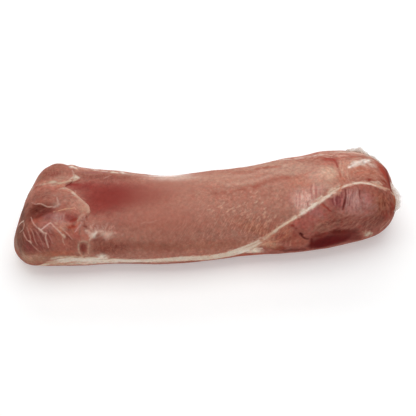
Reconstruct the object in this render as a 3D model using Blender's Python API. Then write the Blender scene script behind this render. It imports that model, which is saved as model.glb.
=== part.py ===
"""A whole boneless pork loin, lying on its fat side on a table.

Units are metres and +Z is up. +X runs from the rump end to the blade end, and -Y is the side
that shows. The origin is on the table, under the middle of the loin.

The loin is four pieces of meat and fat that lie against each other:
eye_muscle, the long loin muscle on top,
rump_muscle, the group of muscles at the rump end, with a tongue that laps over the eye muscle,
fat_layer, the cupped sheet of seam fat under both,
blade_muscle, the darker muscle outside the fat, thin along the loin and thick at the blade end.
"""

import math

import bmesh
import bpy
import numpy as np

# Where the loin ends
RUMP_TIP_X = -0.2400
BLADE_TIP_X = 0.2400

# Body stations: x, centre line y, half width, height
BODY_STATIONS = [
    (-0.2400, -0.0035, 0.0750, 0.0720),
    (-0.2000, -0.0045, 0.0760, 0.0750),
    (-0.1600, -0.0105, 0.0695, 0.0780),
    (-0.1100, -0.0140, 0.0625, 0.0810),
    (-0.0500, -0.0195, 0.0570, 0.0830),
    (0.0000, -0.0125, 0.0590, 0.0830),
    (0.0500, -0.0040, 0.0585, 0.0830),
    (0.1000, 0.0050, 0.0645, 0.0850),
    (0.1500, 0.0145, 0.0660, 0.0870),
    (0.1900, 0.0210, 0.0610, 0.0860),
    (0.2400, 0.0190, 0.0640, 0.0840),
]
SQUARENESS = 2.6
SAG_INTO_TABLE = 0.0045

# Rounded ends: length of the dome, its bluntness, and where its tip lies from the section's middle
RUMP_DOME = 0.038
RUMP_BLUNTNESS = 2.0
RUMP_TIP_Y = -0.026
RUMP_TIP_Z = -0.016
BLADE_DOME = 0.064
BLADE_BLUNTNESS = 2.15
BLADE_TIP_Y = 0.002
BLADE_TIP_Z = 0.000

# The rump end slants: its upper back corner stands nearer the middle than its lower front one
RUMP_SLANT = 0.106
RUMP_SLANT_REACH = 0.110

# Bulges and hollows: x, turn in degrees, reach along, reach about the girth in degrees, height
RELIEF = [
    (-0.1930, 66, 0.026, 20, 0.0020),
    (-0.1780, 98, 0.022, 11, 0.0016),
    (-0.2140, 110, 0.013, 7, -0.0036),
    (-0.2030, 148, 0.022, 22, 0.0026),
    (-0.1350, 100, 0.016, 22, -0.0016),
    (0.1400, 94, 0.022, 20, 0.0024),
    (0.1610, 84, 0.007, 18, -0.0030),
    (0.1960, 82, 0.022, 20, 0.0014),
    (0.1720, 146, 0.040, 26, 0.0026),
]

# A groove runs along the seam where the fat thins out towards the blade end
SEAM_GROOVE_DEPTH = 0.0018
SEAM_GROOVE_WIDTH = 0.0080
SEAM_GROOVE_START_X = 0.055
SEAM_GROOVE_RISE = 0.030

# How finely the body is divided
DOME_RINGS = 8
MIDDLE_RINGS = 42
GIRTH_POINTS = 44

# Fat layer stations: x, front edge as a share of the half width, front edge height, thickness
FAT_STATIONS = [
    (-0.2600, -1.00, 0.0100, 0.0060),
    (-0.2150, -1.00, 0.0130, 0.0060),
    (-0.1850, -1.00, 0.0280, 0.0090),
    (-0.1450, -1.00, 0.0300, 0.0085),
    (-0.1000, -1.00, 0.0240, 0.0070),
    (-0.0300, -1.00, 0.0262, 0.0092),
    (0.0250, -1.00, 0.0250, 0.0120),
    (0.0500, -1.00, 0.0335, 0.0125),
    (0.0700, -1.00, 0.0480, 0.0075),
    (0.0870, -0.93, 0.0620, 0.0048),
    (0.1110, -0.81, 0.0725, 0.0038),
    (0.1410, -0.59, 0.0825, 0.0036),
    (0.1650, -0.41, 0.0850, 0.0036),
    (0.1870, -0.34, 0.0845, 0.0036),
    (0.2120, -0.33, 0.0770, 0.0036),
    (0.2400, -0.22, 0.0560, 0.0034),
]

# Height of the cup's floor and of its back edge, along the loin and at the blade end
FAT_CUP_HEIGHT = 0.0060
FAT_CUP_HEIGHT_AT_BLADE = 0.0300
FAT_BACK_HEIGHT = 0.0200
FAT_BACK_HEIGHT_AT_BLADE = 0.0360
FAT_TURN_START_X = 0.040
FAT_TURN_REACH = 0.140

# The upright seam between the rump muscles and the eye muscle, with its tongue and its notch
RUMP_SEAM_X = -0.1575
RUMP_SEAM_LEAN = -0.18
TONGUE_REACH = 0.0170
TONGUE_GIRTH = 0.0050
TONGUE_WIDTH = 0.0115
NOTCH_REACH = -0.0130
NOTCH_GIRTH = 0.0335
NOTCH_WIDTH = 0.0060

# The rump muscles stand a little proud of the eye muscle that they lap over
RUMP_SWELL = 0.0013

# Space left between pieces that touch; the upright seam's is along x, and its sides slope
GAP = 0.0003
SEAM_GAP = 0.0005

# Cutters reach well past the loin
SHEET_LENGTH = 0.56
SHEET_OVERHANG = 0.30
SHEET_CELLS = (50, 12)
SEAM_GIRTH = 0.26
SEAM_DEPTH = 0.36
SEAM_CELLS = (70, 1)
FAR_UP = 0.20
FAR_LEFT = -0.35

COLOURS = {
    "eye_muscle": (0.42, 0.17, 0.12, 1.0),
    "rump_muscle": (0.33, 0.12, 0.09, 1.0),
    "fat_layer": (0.66, 0.55, 0.43, 1.0),
    "blade_muscle": (0.24, 0.06, 0.05, 1.0),
}
ROUGHNESS = 0.42


def smooth_profile(stations, column):
    """A function of x that passes smoothly through one column of a station table."""
    xs = np.array([row[0] for row in stations])
    values = np.array([row[column] for row in stations])
    slopes = np.gradient(values, xs)

    def value_at(x):
        x = np.clip(x, xs[0], xs[-1])
        i = np.clip(np.searchsorted(xs, x, side="right") - 1, 0, len(xs) - 2)
        step = xs[i + 1] - xs[i]
        t = (x - xs[i]) / step
        start = values[i] * (1 + 2 * t) + slopes[i] * step * t
        end = values[i + 1] * (3 - 2 * t) + slopes[i + 1] * step * (t - 1)
        return start * (1 - t) ** 2 + end * t**2

    return value_at


centre_y = smooth_profile(BODY_STATIONS, 1)
half_width = smooth_profile(BODY_STATIONS, 2)
height = smooth_profile(BODY_STATIONS, 3)
fat_front_share = smooth_profile(FAT_STATIONS, 1)
fat_front_height = smooth_profile(FAT_STATIONS, 2)
fat_thickness = smooth_profile(FAT_STATIONS, 3)


def ease(t):
    """A smooth step from 0 to 1 as t goes from 0 to 1."""
    t = np.clip(t, 0.0, 1.0)
    return t * t * (3 - 2 * t)


def bell(distance):
    """A smooth hump: 1 at no distance, and almost 0 two units away."""
    return np.exp(-(distance**2))


def signed_power(value, power):
    return np.sign(value) * np.abs(value) ** power


def clear_scene():
    for obj in list(bpy.data.objects):
        bpy.data.objects.remove(obj)


def fat_front_edge(x):
    """Where the middle of the fat layer comes out at the showing side."""
    return centre_y(x) + fat_front_share(x) * half_width(x), fat_front_height(x)


def relief(x, turn):
    """Height of the bulges and hollows at x along the loin and turn radians about its girth."""
    total = 0.0
    for at_x, at_turn, reach_along, reach_around, rise in RELIEF:
        along = (x - at_x) / reach_along
        around = (turn - math.radians(at_turn)) / math.radians(reach_around)
        total = total + rise * bell(np.hypot(along, around))
    return total


def seam_groove(x, y, z):
    edge_y, edge_z = fat_front_edge(x)
    distance = np.hypot(y - edge_y, z - edge_z) / SEAM_GROOVE_WIDTH
    depth = SEAM_GROOVE_DEPTH * ease((x - SEAM_GROOVE_START_X) / SEAM_GROOVE_RISE)
    return -depth * bell(distance)


def dome_sizes(x):
    """Size of the section at x as a share of its full size, at the rump end and the blade end."""
    into_rump = np.clip((RUMP_TIP_X + RUMP_DOME - x) / RUMP_DOME, 0, 1)
    into_blade = np.clip((x - BLADE_TIP_X + BLADE_DOME) / BLADE_DOME, 0, 1)
    rump = (1 - into_rump**RUMP_BLUNTNESS) ** (1 / RUMP_BLUNTNESS)
    blade = (1 - into_blade**BLADE_BLUNTNESS) ** (1 / BLADE_BLUNTNESS)
    return rump, blade


def body_points(x, turn, swell=0.0):
    """Points on the outside of the loin, at x along it and turn radians about its girth."""
    half_height = (height(x) + SAG_INTO_TABLE) / 2
    y = half_width(x) * signed_power(np.cos(turn), 2 / SQUARENESS)
    z = half_height * signed_power(np.sin(turn), 2 / SQUARENESS)
    floor = half_height - SAG_INTO_TABLE
    rise = swell + relief(x, turn) + seam_groove(x, y + centre_y(x), z + floor)
    radius = np.hypot(y, z)
    y = y * (1 + rise / radius)
    z = z * (1 + rise / radius)
    rump_size, blade_size = dome_sizes(x)
    y = RUMP_TIP_Y + (y - RUMP_TIP_Y) * rump_size
    z = RUMP_TIP_Z + (z - RUMP_TIP_Z) * rump_size
    y = BLADE_TIP_Y + (y - BLADE_TIP_Y) * blade_size
    z = BLADE_TIP_Z + (z - BLADE_TIP_Z) * blade_size
    slant = RUMP_SLANT * (1 - ease((x - RUMP_TIP_X) / RUMP_SLANT_REACH))
    x_out = x + slant * (y - RUMP_TIP_Y + z - RUMP_TIP_Z)
    return x_out, y + centre_y(x), np.maximum(z + floor, 0.0)


def ring_positions():
    """Positions along the loin, closer together round the two domes."""
    turns = np.linspace(0, math.pi / 2, DOME_RINGS + 1)
    rump = RUMP_TIP_X + RUMP_DOME * (1 - np.cos(turns))
    blade = BLADE_TIP_X - BLADE_DOME * (1 - np.sin(turns))
    middle = np.linspace(rump[-1], blade[0], MIDDLE_RINGS + 1)
    return np.concatenate([rump[:-1], middle, blade[1:]])


def fat_sheet_point(x, across, lift):
    """A point of the fat sheet: across runs from 0 at the front edge to 1 at the back edge.

    The sheet is a curve through three points in each section, carried on straight past its
    ends. It is lifted towards the eye muscle, square to itself.
    """
    turned = ease((x - FAT_TURN_START_X) / FAT_TURN_REACH)
    cup_height = FAT_CUP_HEIGHT + (FAT_CUP_HEIGHT_AT_BLADE - FAT_CUP_HEIGHT) * turned
    back_height = FAT_BACK_HEIGHT + (FAT_BACK_HEIGHT_AT_BLADE - FAT_BACK_HEIGHT) * turned
    front = np.array(fat_front_edge(x))
    cup = np.array([centre_y(x), cup_height])
    back = np.array([centre_y(x) + half_width(x), back_height])
    t = min(max(across, 0.0), 1.0)
    slope = 2 * ((1 - t) * (cup - front) + t * (back - cup))
    point = (1 - t) ** 2 * front + 2 * t * (1 - t) * cup + t**2 * back
    point = point + (across - t) * slope
    up = np.array([-slope[1], slope[0]]) / math.hypot(slope[0], slope[1])
    y, z = point + lift * up
    return x, y, z


def rump_seam_point(girth, depth, gap):
    """A point of the upright seam.

    Girth runs up and back across the showing side, from the middle of the section, and depth
    runs square to it, down into the meat.
    """
    tongue = TONGUE_REACH * bell((girth - TONGUE_GIRTH) / TONGUE_WIDTH)
    notch = NOTCH_REACH * bell((girth - NOTCH_GIRTH) / NOTCH_WIDTH)
    x = RUMP_SEAM_X + RUMP_SEAM_LEAN * girth + tongue + notch + gap
    y = centre_y(RUMP_SEAM_X) + (girth + depth) / math.sqrt(2)
    z = height(RUMP_SEAM_X) / 2 + (girth - depth) / math.sqrt(2)
    return x, y, z


def finish_mesh(name, mesh):
    bmesh.ops.triangulate(mesh, faces=mesh.faces)
    bmesh.ops.recalc_face_normals(mesh, faces=mesh.faces)
    data = bpy.data.meshes.new(name)
    mesh.to_mesh(data)
    mesh.free()
    return data


def make_body_mesh(name, swell):
    """The whole outline of the loin as a closed mesh: a grid rolled into a tube with two tips."""
    xs = ring_positions()
    rings = len(xs)
    mesh = bmesh.new()
    bmesh.ops.create_grid(mesh, x_segments=rings - 1, y_segments=GIRTH_POINTS, size=1)
    for vertex in mesh.verts:
        ring = round((vertex.co.x + 1) / 2 * (rings - 1))
        turn = (vertex.co.y + 1) * math.pi
        vertex.co = body_points(xs[ring], turn, swell)
    bmesh.ops.remove_doubles(mesh, verts=mesh.verts, dist=0.00001)
    return finish_mesh(name, mesh)


def make_cutter(name, collection, cells, near, far):
    """A closed block: each point of a flat grid goes to near(a, b), and its pair to far(a, b)."""
    mesh = bmesh.new()
    bmesh.ops.create_grid(mesh, x_segments=cells[0], y_segments=cells[1], size=0.5)
    base = list(mesh.verts)
    side = bmesh.ops.extrude_face_region(mesh, geom=list(mesh.faces))
    raised = [part for part in side["geom"] if isinstance(part, bmesh.types.BMVert)]
    for vertex in raised:
        vertex.co = far(vertex.co.x, vertex.co.y)
    for vertex in base:
        vertex.co = near(vertex.co.x, vertex.co.y)
    cutter = bpy.data.objects.new(name, finish_mesh(name, mesh))
    cutter.hide_render = True
    cutter.display_type = "WIRE"
    collection.objects.link(cutter)
    return cutter


def make_sheet_cutter(name, collection, side, gap):
    """Everything above the fat layer's top (side 1) or its underside (side -1)."""

    def sheet(along, across):
        x = along * SHEET_LENGTH
        lift = side * fat_thickness(x) / 2 + gap
        share = 0.5 + across * (1 + 2 * SHEET_OVERHANG)
        return fat_sheet_point(x, share, lift)

    def above(along, across):
        x, y, z = sheet(along, across)
        return x, y, z + FAR_UP

    return make_cutter(name, collection, SHEET_CELLS, sheet, above)


def make_rump_cutter(name, collection, gap):
    """Everything on the rump side of the upright seam."""

    def seam(along, across):
        return rump_seam_point(along * SEAM_GIRTH, across * SEAM_DEPTH, gap)

    def beyond(along, across):
        _, y, z = seam(along, across)
        return FAR_LEFT, y, z

    return make_cutter(name, collection, SEAM_CELLS, seam, beyond)


def make_material(name):
    material = bpy.data.materials.new(name)
    material.use_nodes = True
    shader = material.node_tree.nodes["Principled BSDF"]
    shader.inputs["Base Color"].default_value = COLOURS[name]
    shader.inputs["Roughness"].default_value = ROUGHNESS
    shader.inputs["Metallic"].default_value = 0.0
    return material


def make_piece(name, collection, outline, cuts):
    """One piece of the loin: the outline, cut down by each cutter in turn."""
    obj = bpy.data.objects.new(name, outline.copy())
    obj.data.materials.append(make_material(name))
    collection.objects.link(obj)
    for operation, cutter in cuts:
        boolean = obj.modifiers.new(cutter.name, "BOOLEAN")
        boolean.operation = operation
        boolean.object = cutter
        boolean.solver = "EXACT"
    return obj


def main():
    clear_scene()
    loin = bpy.data.collections.new("pork_loin")
    cutters = bpy.data.collections.new("pork_loin_cutters")
    bpy.context.scene.collection.children.link(loin)
    bpy.context.scene.collection.children.link(cutters)

    outline = make_body_mesh("loin_outline", 0.0)
    rump_outline = make_body_mesh("rump_outline", RUMP_SWELL)

    over_fat = make_sheet_cutter("over_fat", cutters, 1, GAP)
    fat_top = make_sheet_cutter("fat_top", cutters, 1, 0.0)
    fat_bottom = make_sheet_cutter("fat_bottom", cutters, -1, 0.0)
    over_blade = make_sheet_cutter("over_blade", cutters, -1, -GAP)
    rump_side = make_rump_cutter("rump_side", cutters, 0.0)
    eye_side = make_rump_cutter("eye_side", cutters, SEAM_GAP)

    make_piece("eye_muscle", loin, outline, [("INTERSECT", over_fat), ("DIFFERENCE", eye_side)])
    make_piece("rump_muscle", loin, rump_outline, [("INTERSECT", over_fat), ("INTERSECT", rump_side)])
    make_piece("fat_layer", loin, outline, [("INTERSECT", fat_bottom), ("DIFFERENCE", fat_top)])
    make_piece("blade_muscle", loin, outline, [("DIFFERENCE", over_blade)])


main()
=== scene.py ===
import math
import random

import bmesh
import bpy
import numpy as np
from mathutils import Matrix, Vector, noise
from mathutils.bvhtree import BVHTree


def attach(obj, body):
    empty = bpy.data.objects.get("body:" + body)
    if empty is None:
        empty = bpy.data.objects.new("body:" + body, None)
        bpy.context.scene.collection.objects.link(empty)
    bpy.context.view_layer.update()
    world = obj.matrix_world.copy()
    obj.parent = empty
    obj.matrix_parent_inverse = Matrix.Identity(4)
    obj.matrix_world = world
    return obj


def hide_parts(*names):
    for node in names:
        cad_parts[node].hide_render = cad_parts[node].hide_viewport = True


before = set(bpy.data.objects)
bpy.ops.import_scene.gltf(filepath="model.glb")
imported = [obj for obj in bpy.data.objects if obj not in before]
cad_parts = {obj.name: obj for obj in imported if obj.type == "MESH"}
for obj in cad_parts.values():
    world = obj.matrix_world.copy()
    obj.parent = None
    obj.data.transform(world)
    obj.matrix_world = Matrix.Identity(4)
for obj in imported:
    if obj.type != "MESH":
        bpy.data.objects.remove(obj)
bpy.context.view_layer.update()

# The looks of a raw boneless pork loin, round its four imported solids.
#
# Units are metres, +Z is up, +X runs from the rump end to the blade end and -Y is the side that
# shows. Each solid gets a fine skin of its own, set on one smooth outside that all four share.
# Stains, veins, creases and lumps are placed where the photograph shows them, by pixels of its
# 416 x 416 frame, and then lie on the outside of the meat. A colour is the one that the photograph
# shows there, and the studio's light is taken out of it. Some light and shade stays painted in: a
# painted highlight along the top edge and on the pink sheen, and painted shade in the recess, the
# notch, the creases and along the bottom.

MM = 0.001

# The camera in front of the loin, looking down on it
PHOTO_PIXELS = 416
VIEW_TILT = math.radians(45)
VIEW_DISTANCE = 1.45
VIEW_AIM = Vector((0.001, 0.0, 0.040))
LENS_MM = 100.0
FILM_MM = 36.0
FORWARD = Vector((0.0, math.cos(VIEW_TILT), -math.sin(VIEW_TILT)))
UPWARD = Vector((0.0, math.sin(VIEW_TILT), math.cos(VIEW_TILT)))
EYE_POINT = VIEW_AIM - FORWARD * VIEW_DISTANCE

# How fine each skin is
OUTSIDE_CELL = 2.5 * MM
SKIN_CELLS = {
    "eye_muscle": 1.05 * MM,
    "rump_muscle": 0.66 * MM,
    "fat_layer": 0.90 * MM,
    "blade_muscle": 0.92 * MM,
}
WELD = 0.01 * MM

# Pieces further apart than this don't touch each other's colours
MEETING_REACH = 20 * MM

# Walls deeper inside the loin than this are hidden, and keep few faces
HIDDEN_DEPTH = 4.5 * MM
HIDDEN_KEPT = 0.06

# The underside, up to this height, keeps fewer faces than what shows
UNDERSIDE_TOP = 2 * MM
UNDERSIDE_KEPT = 0.2

# The walls between the pieces are swelled by this much, so that the pieces overlap
WALL_SWELL = 0.8 * MM

# Forms of the surface fade out at this depth inside the loin
SHAPED_DEPTH = 16 * MM

# A point is skin where it lies this near to the outside and faces the same way
SKIN_GAP = 3.2 * MM
SKIN_GAP_FADE = 1.4 * MM
SKIN_FACING = 0.30
SKIN_FACING_FADE = 0.35

# A face of the underside looks down at least this much
FACING_DOWN = -0.8

# Rounds of smoothing, and how far each round goes in and then back out
OUTSIDE_ROUNDS = 45
SKIN_ROUNDS = 4
SMOOTH_IN = 0.52
SMOOTH_OUT = -0.53

# Strokes further away than this many half widths leave no mark
FAR = 6.0

# The share of its width that a stroke keeps at its tips, and how fast it fades out sideways
TIP_WIDTH = 0.45
STROKE_FALL = 0.7

# A patch reaches this many times its own reach into the meat
PATCH_DEPTH = 1.5

# The studio's light on a side of the loin and what the top gets beyond it, and so for the shine
SIDE_LIGHT = 0.745
TOP_LIGHT = 0.32
SIDE_SHINE = 0.0065
TOP_SHINE = 0.0065

# The darkest own colour of a spot, and the limits of a skin's colours, in scene values
DARKEST = 0.003
COLOUR_LIMITS = (0.002, 0.95)

# The row of the loin's middle in the photograph, and how much it rises with each pixel rightwards
MIDDLE_ROW = 205
MIDDLE_RISE = 0.1

# A pixel off the loin moves towards its middle by these steps, this many times at most
ROW_STEP = 0.5
COLUMN_STEP = 0.3
MOST_STEPS = 20

# The colour of each skin, and a pixel where the photograph shows it
BASES = {
    "rump_muscle": ((150, 92, 79), (56, 232)),
    "eye_muscle": ((175, 120, 104), (225, 206)),
    "blade_muscle": ((142, 86, 75), (345, 215)),
    "fat_layer": ((190, 172, 155), (225, 255)),
}

# Soft patches of colour on each skin: sRGB, pixel, reach along and across in millimetres, lean in
# degrees, strength, and for some how firm the edge is. A later patch lies over an earlier one.
# Here and below, a spot that the photograph doesn't show is a place of three values in millimetres
# instead of a pixel. The cut vessel lies on two skins, so both have its patches.
VESSEL_PATCHES = {
    "vessel's rim": ((170, 134, 114), (83.4, 248.6), 7.4, 9.8, 0, 0.7),
    "vessel": ((122, 62, 53), (83.6, 248.8), 6.4, 8.2, 0, 1.0, 2.5),
}
# The patches along the bottom named low muscle, low middle, low right, low left, dark brown low and far low
# are darker partly by the meat's own browner colour and partly by painted shade.
PATCHES = {
    "rump_muscle": {
        "back of the rump": ((168, 110, 95), (-195, 75, 45), 70, 60, 0, 1.0),
        "top edge of the rump": ((146, 92, 78), (57, 163.5), 24, 12, 0, 0.95),
        "upper muscle": ((152, 99, 86), (58, 171), 26, 14, 0, 0.9),
        "red in the upper muscle": ((128, 69, 60), (52, 173), 11, 6, 10, 0.9),
        "left of the upper muscle": ((138, 84, 71), (46, 173), 10, 13, -30, 0.9),
        "red at its rim": ((118, 64, 53), (43, 172), 6, 9, -40, 0.75),
        "tan at its left": ((144, 98, 81), (41, 179), 9, 5, -30, 0.85),
        "pink by the fat": ((176, 130, 113), (62, 177.5), 14, 5, 6, 0.8),
        "tan below it": ((180, 132, 112), (54, 182), 22, 4, 8, 0.85),
        "white blob": ((206, 186, 166), (52.5, 181.8), 5, 2.4, -10, 0.75),
        "second white blob": ((196, 168, 150), (43, 184.6), 3.2, 1.4, 4, 0.8),
        "third white blob": ((196, 172, 156), (33, 188.4), 2.6, 2.4, -50, 0.7),
        "red beside it": ((142, 76, 68), (37, 187), 4, 2.4, 0, 0.7),
        "white under the muscle": ((200, 162, 144), (53, 184.8), 5, 1.8, 0, 0.8),
        "orange by the notch": ((194, 130, 110), (60.5, 185.6), 9, 2.8, 4, 0.8),
        "pale muscle": ((150, 97, 85), (44, 195), 22, 10, 8, 0.9),
        "pink middle": ((170, 115, 101), (64, 197), 16, 13, 0, 0.85),
        "pink by the vein": ((174, 131, 116), (54, 204), 7, 4, -10, 0.8),
        "orange in the tongue": ((182, 120, 101), (66, 192), 8, 5, -30, 0.6),
        "tongue": ((178, 123, 107), (78, 205), 15, 13, -30, 0.9),
        "tongue's lower side": ((166, 104, 90), (71, 213), 12, 5, -20, 0.7),
        "tongue's tip": ((194, 144, 122), (85, 208.5), 6, 7, -30, 0.8),
        "tongue's start": ((192, 156, 136), (62.5, 188.8), 4, 2.2, -10, 0.75),
        # The recess is darker partly by the muscle's own colour and partly by painted shade, darkest in its
        # middle.
        "recess": ((112, 62, 53), (37, 210.4), 23, 10, -8, 0.95),
        "painted shade deep in the recess": ((98, 50, 43), (35, 210), 11, 6, 0, 0.8),
        "dark purple in it": ((116, 58, 54), (46, 211.6), 12, 6, -10, 0.85),
        "left of the recess": ((92, 58, 49), (23, 212), 6, 12, -20, 0.95),
        "maroon under it": ((106, 46, 39), (40, 216.4), 10, 4.4, -8, 0.9),
        "red left of it": ((112, 54, 44), (31, 219), 5, 4, -30, 0.75),
        "purple by the recess": ((140, 84, 80), (48, 216.5), 12, 4.5, -10, 0.9),
        "orange under the recess": ((160, 88, 73), (37, 220), 9, 4, -10, 0.6),
        "pink below it": ((170, 108, 98), (44, 223), 9, 4, -10, 0.6),
        "pink by the tongue": ((180, 128, 120), (59, 218), 10, 6, 0, 0.9),
        "purple by the tongue": ((142, 68, 62), (70.4, 217.6), 9, 6, 0, 0.9),
        "crimson by the tongue": ((146, 64, 54), (74, 220), 4, 3, 0, 0.9),
        "orange by the tongue": ((196, 134, 113), (63, 225), 9, 4, 6, 0.85),
        "salmon by the tongue": ((186, 116, 98), (78, 226), 4, 6, 0, 0.75),
        "red under the orange": ((144, 60, 48), (71, 227), 5, 3, 0, 0.9),
        "end's middle": ((178, 124, 113), (51, 227.5), 18, 7, -20, 0.8),
        "salmon at its right": ((190, 134, 115), (63, 228.6), 6, 4, -30, 0.8),
        "pink at its left": ((172, 126, 114), (43, 232.4), 6, 5, -30, 0.85),
        "low muscle": ((121, 68, 60), (34, 240), 22, 15, -30, 0.95),
        "purple in it": ((118, 60, 56), (29, 247), 8, 6, -30, 0.7),
        "between the tendons": ((138, 78, 71), (44, 240), 10, 10, -20, 0.7),
        "far low": ((104, 62, 52), (21, 238), 9, 18, 0, 0.9),
        "left side": ((110, 68, 56), (18, 236), 14, 34, 6, 1.0),
        "low right": ((142, 83, 71), (66, 247), 18, 9, 0, 0.8),
        "red at the knot": ((122, 58, 50), (68, 238), 4, 3, 0, 0.6),
        "low edge": ((148, 107, 88), (35, 259.6), 26, 8, -20, 0.9),
        "low middle edge": ((142, 84, 66), (58, 254), 24, 5, 2, 0.8),
        "tan over the band": ((170, 134, 112), (72, 257), 18, 2.4, 2, 0.85),
        "orange low": ((162, 98, 78), (68, 252.5), 8, 3, 0, 0.5),
        "far low edge": ((140, 102, 84), (22, 255), 6, 8, 10, 0.7),
        "grey at the far left": ((142, 114, 100), (15.4, 243), 5, 10, 4, 0.6),
        "left rim": ((128, 94, 80), (28, 196), 5, 18, -28, 0.7),
        "pale on the rim": ((168, 138, 124), (33, 190), 3.4, 3, -40, 0.7),
        "dark by the rim": ((104, 62, 50), (27, 206), 5, 6, -28, 0.8),
        "dark below it": ((98, 62, 52), (22, 217), 4, 7, -20, 0.85),
        "over the vessel": ((162, 94, 82), (80, 235), 10, 6, 0, 0.9),
        **VESSEL_PATCHES,
    },
    "eye_muscle": {
        "dark at the back": ((150, 90, 76), (-30, 80, 34), 80, 14, 2, 0.7),
        "second dark at the back": ((140, 78, 66), (-128, 72, 40), 40, 16, 0, 0.6),
        "red at the back": ((146, 80, 70), (148, 80, 44), 44, 16, -4, 0.7),
        "pale at the back": ((190, 140, 122), (60, 80, 64), 60, 12, 4, 0.75),
        "second pale at the back": ((186, 134, 118), (-80, 68, 66), 44, 9, -4, 0.7),
        "third pale at the back": ((184, 130, 112), (196, 66, 56), 30, 14, 6, 0.7),
        "right middle": ((170, 116, 100), (262, 206), 44, 20, 10, 0.8),
        "pale top": ((186, 137, 119), (226, 179), 60, 13, 8, 0.85),
        "top right": ((187, 145, 127), (282, 167), 52, 16, 16, 0.85),
        "red below the top edge": ((170, 110, 94), (268, 167.4), 18, 2.8, 8, 0.85),
        # The next three patches are a painted highlight along the top edge: the shine of the light from
        # behind the loin, painted into the colour.
        "painted highlight's left": ((184, 142, 128), (140, 175.5), 24, 5, 0, 0.7),
        "painted highlight on the top edge": ((206, 172, 158), (172, 178), 32, 8, 0, 0.85),
        "brightest painted highlight": ((236, 218, 210), (168, 174.6), 24, 4, 0, 0.9),
        "under the blush": ((164, 106, 93), (122, 222), 40, 9, 0, 0.8),
        "middle": ((166, 105, 90), (165, 222), 46, 20, 0, 0.85),
        "low middle": ((133, 80, 66), (160, 247), 46, 8, 2, 0.9),
        "low right": ((143, 91, 75), (215, 245), 44, 8, 6, 0.85),
        "brown by the fat": ((149, 92, 75), (262, 231), 34, 8, 24, 0.85),
        "near the rump": ((143, 86, 75), (100, 177), 42, 8, 2, 0.95),
        "brown by the fat's tip": ((150, 94, 80), (79, 174), 7, 3.4, 8, 0.85),
        "purple at the top": ((150, 96, 92), (95, 172.5), 24, 3, 2, 0.7),
        "blush's tail": ((158, 92, 80), (144, 195), 38, 22, 0, 0.85),
        "blush": ((146, 74, 66), (112, 196), 40, 29, -2, 1.0),
        "blush by the notch": ((147, 71, 65), (84, 186), 22, 9, -4, 0.95),
        # The notch patch is painted shadow under the tip of the fat above it.
        "notch": ((140, 61, 56), (72, 184.6), 9, 3, 6, 0.85),
        "blush's heart": ((139, 61, 55), (104, 196), 30, 24, -2, 0.97),
        "blush's low heart": ((146, 68, 61), (99, 208), 15, 8, -10, 0.8),
        "film over the low muscle": ((152, 100, 88), (100, 227.4), 22, 5, 0, 0.8),
        "low muscle": ((120, 67, 56), (110, 247.5), 26, 11, 0, 0.95),
        "its upper edge": ((116, 62, 55), (98, 240), 12, 3, 0, 0.6),
        "over the vessel": ((164, 100, 86), (86, 236), 7, 6, 0, 0.9),
        **VESSEL_PATCHES,
        "orange beside the bulge": ((186, 125, 106), (300, 182), 20, 10, 20, 0.7),
        "pink by the seam": ((204, 160, 142), (328, 186.6), 7, 3.4, 30, 0.8),
        "pink by the bulge": ((202, 154, 136), (317, 176), 14, 14, 10, 0.85),
        "pale bulge": ((209, 169, 147), (331, 173.6), 12, 14, 10, 0.95),
        # The pink sheen patches are the meat's pink film with a painted sheen over it.
        "pink sheen": ((211, 167, 153), (305, 201), 15, 14, 20, 0.97),
        "second sheen": ((202, 154, 141), (318, 190), 9, 8, 20, 0.85),
        "round the crease": ((178, 106, 92), (332, 162), 15, 7, -20, 0.6),
        "red in the crease": ((162, 78, 68), (330, 159.6), 11, 3.6, -16, 0.85),
        "beyond the crease": ((192, 134, 115), (346, 168), 12, 15, 0, 0.85),
        "orange over the seam": ((182, 104, 84), (341, 179), 6, 6, 0, 0.7),
        "blade top": ((184, 118, 99), (366, 172), 22, 9, -10, 0.9),
        "white on the blade end": ((214, 184, 166), (359, 163), 13, 2.6, 24, 0.7),
        "orange under the white": ((182, 112, 88), (358, 168), 8, 3, 20, 0.6),
        "red over the seam": ((158, 77, 64), (370, 180.2), 10, 2.5, -6, 0.6),
        "pink top edge": ((206, 176, 162), (353, 152.6), 30, 3.6, 0, 0.85),
        "brown by the rim": ((152, 82, 66), (384, 182), 10, 6, -20, 0.9),
        "crimson's low part": ((140, 62, 46), (387, 176.4), 5, 6, -20, 0.9),
        "red down the rim": ((140, 62, 47), (390.4, 184), 4, 12, -8, 0.9),
        "crimson": ((158, 68, 54), (384, 170), 9, 14, -38, 1.0),
        "dark rim": ((118, 42, 32), (390, 178), 4, 16, -10, 1.0),
        "grey film": ((206, 172, 158), (372, 164.4), 5.4, 4, -10, 1.0),
        "olive film": ((178, 136, 114), (377, 183), 6, 1.8, -12, 0.35),
        "brown past the seam": ((124, 58, 44), (388, 191.6), 10, 6, -40, 0.95),
    },
    "blade_muscle": {
        "brown round the end": ((134, 78, 64), (384, 207), 18, 24, -20, 0.9),
        "orange in the end": ((150, 92, 72), (380, 203), 8, 8, 0, 0.6),
        "purple": ((168, 117, 109), (354, 203), 22, 14, 0, 0.95),
        "mauve": ((168, 112, 106), (366, 200), 7, 11, 0, 0.7),
        "dark purple": ((142, 76, 74), (337, 200.6), 10, 9, 10, 0.95),
        "pale purple": ((174, 125, 117), (351, 198), 6, 10, 0, 0.85),
        "dark brown low": ((124, 70, 60), (346, 222), 40, 8, 8, 0.95),
        "low right": ((108, 61, 52), (376, 222), 16, 9, -24, 0.9),
        "pale blotch": ((158, 113, 97), (322, 217), 5, 3, 0, 0.7),
        "mauve by the fat": ((164, 99, 94), (314, 211), 16, 6, 30, 0.85),
        "mauve below it": ((162, 96, 88), (312, 220.6), 9, 5, 20, 0.8),
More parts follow.
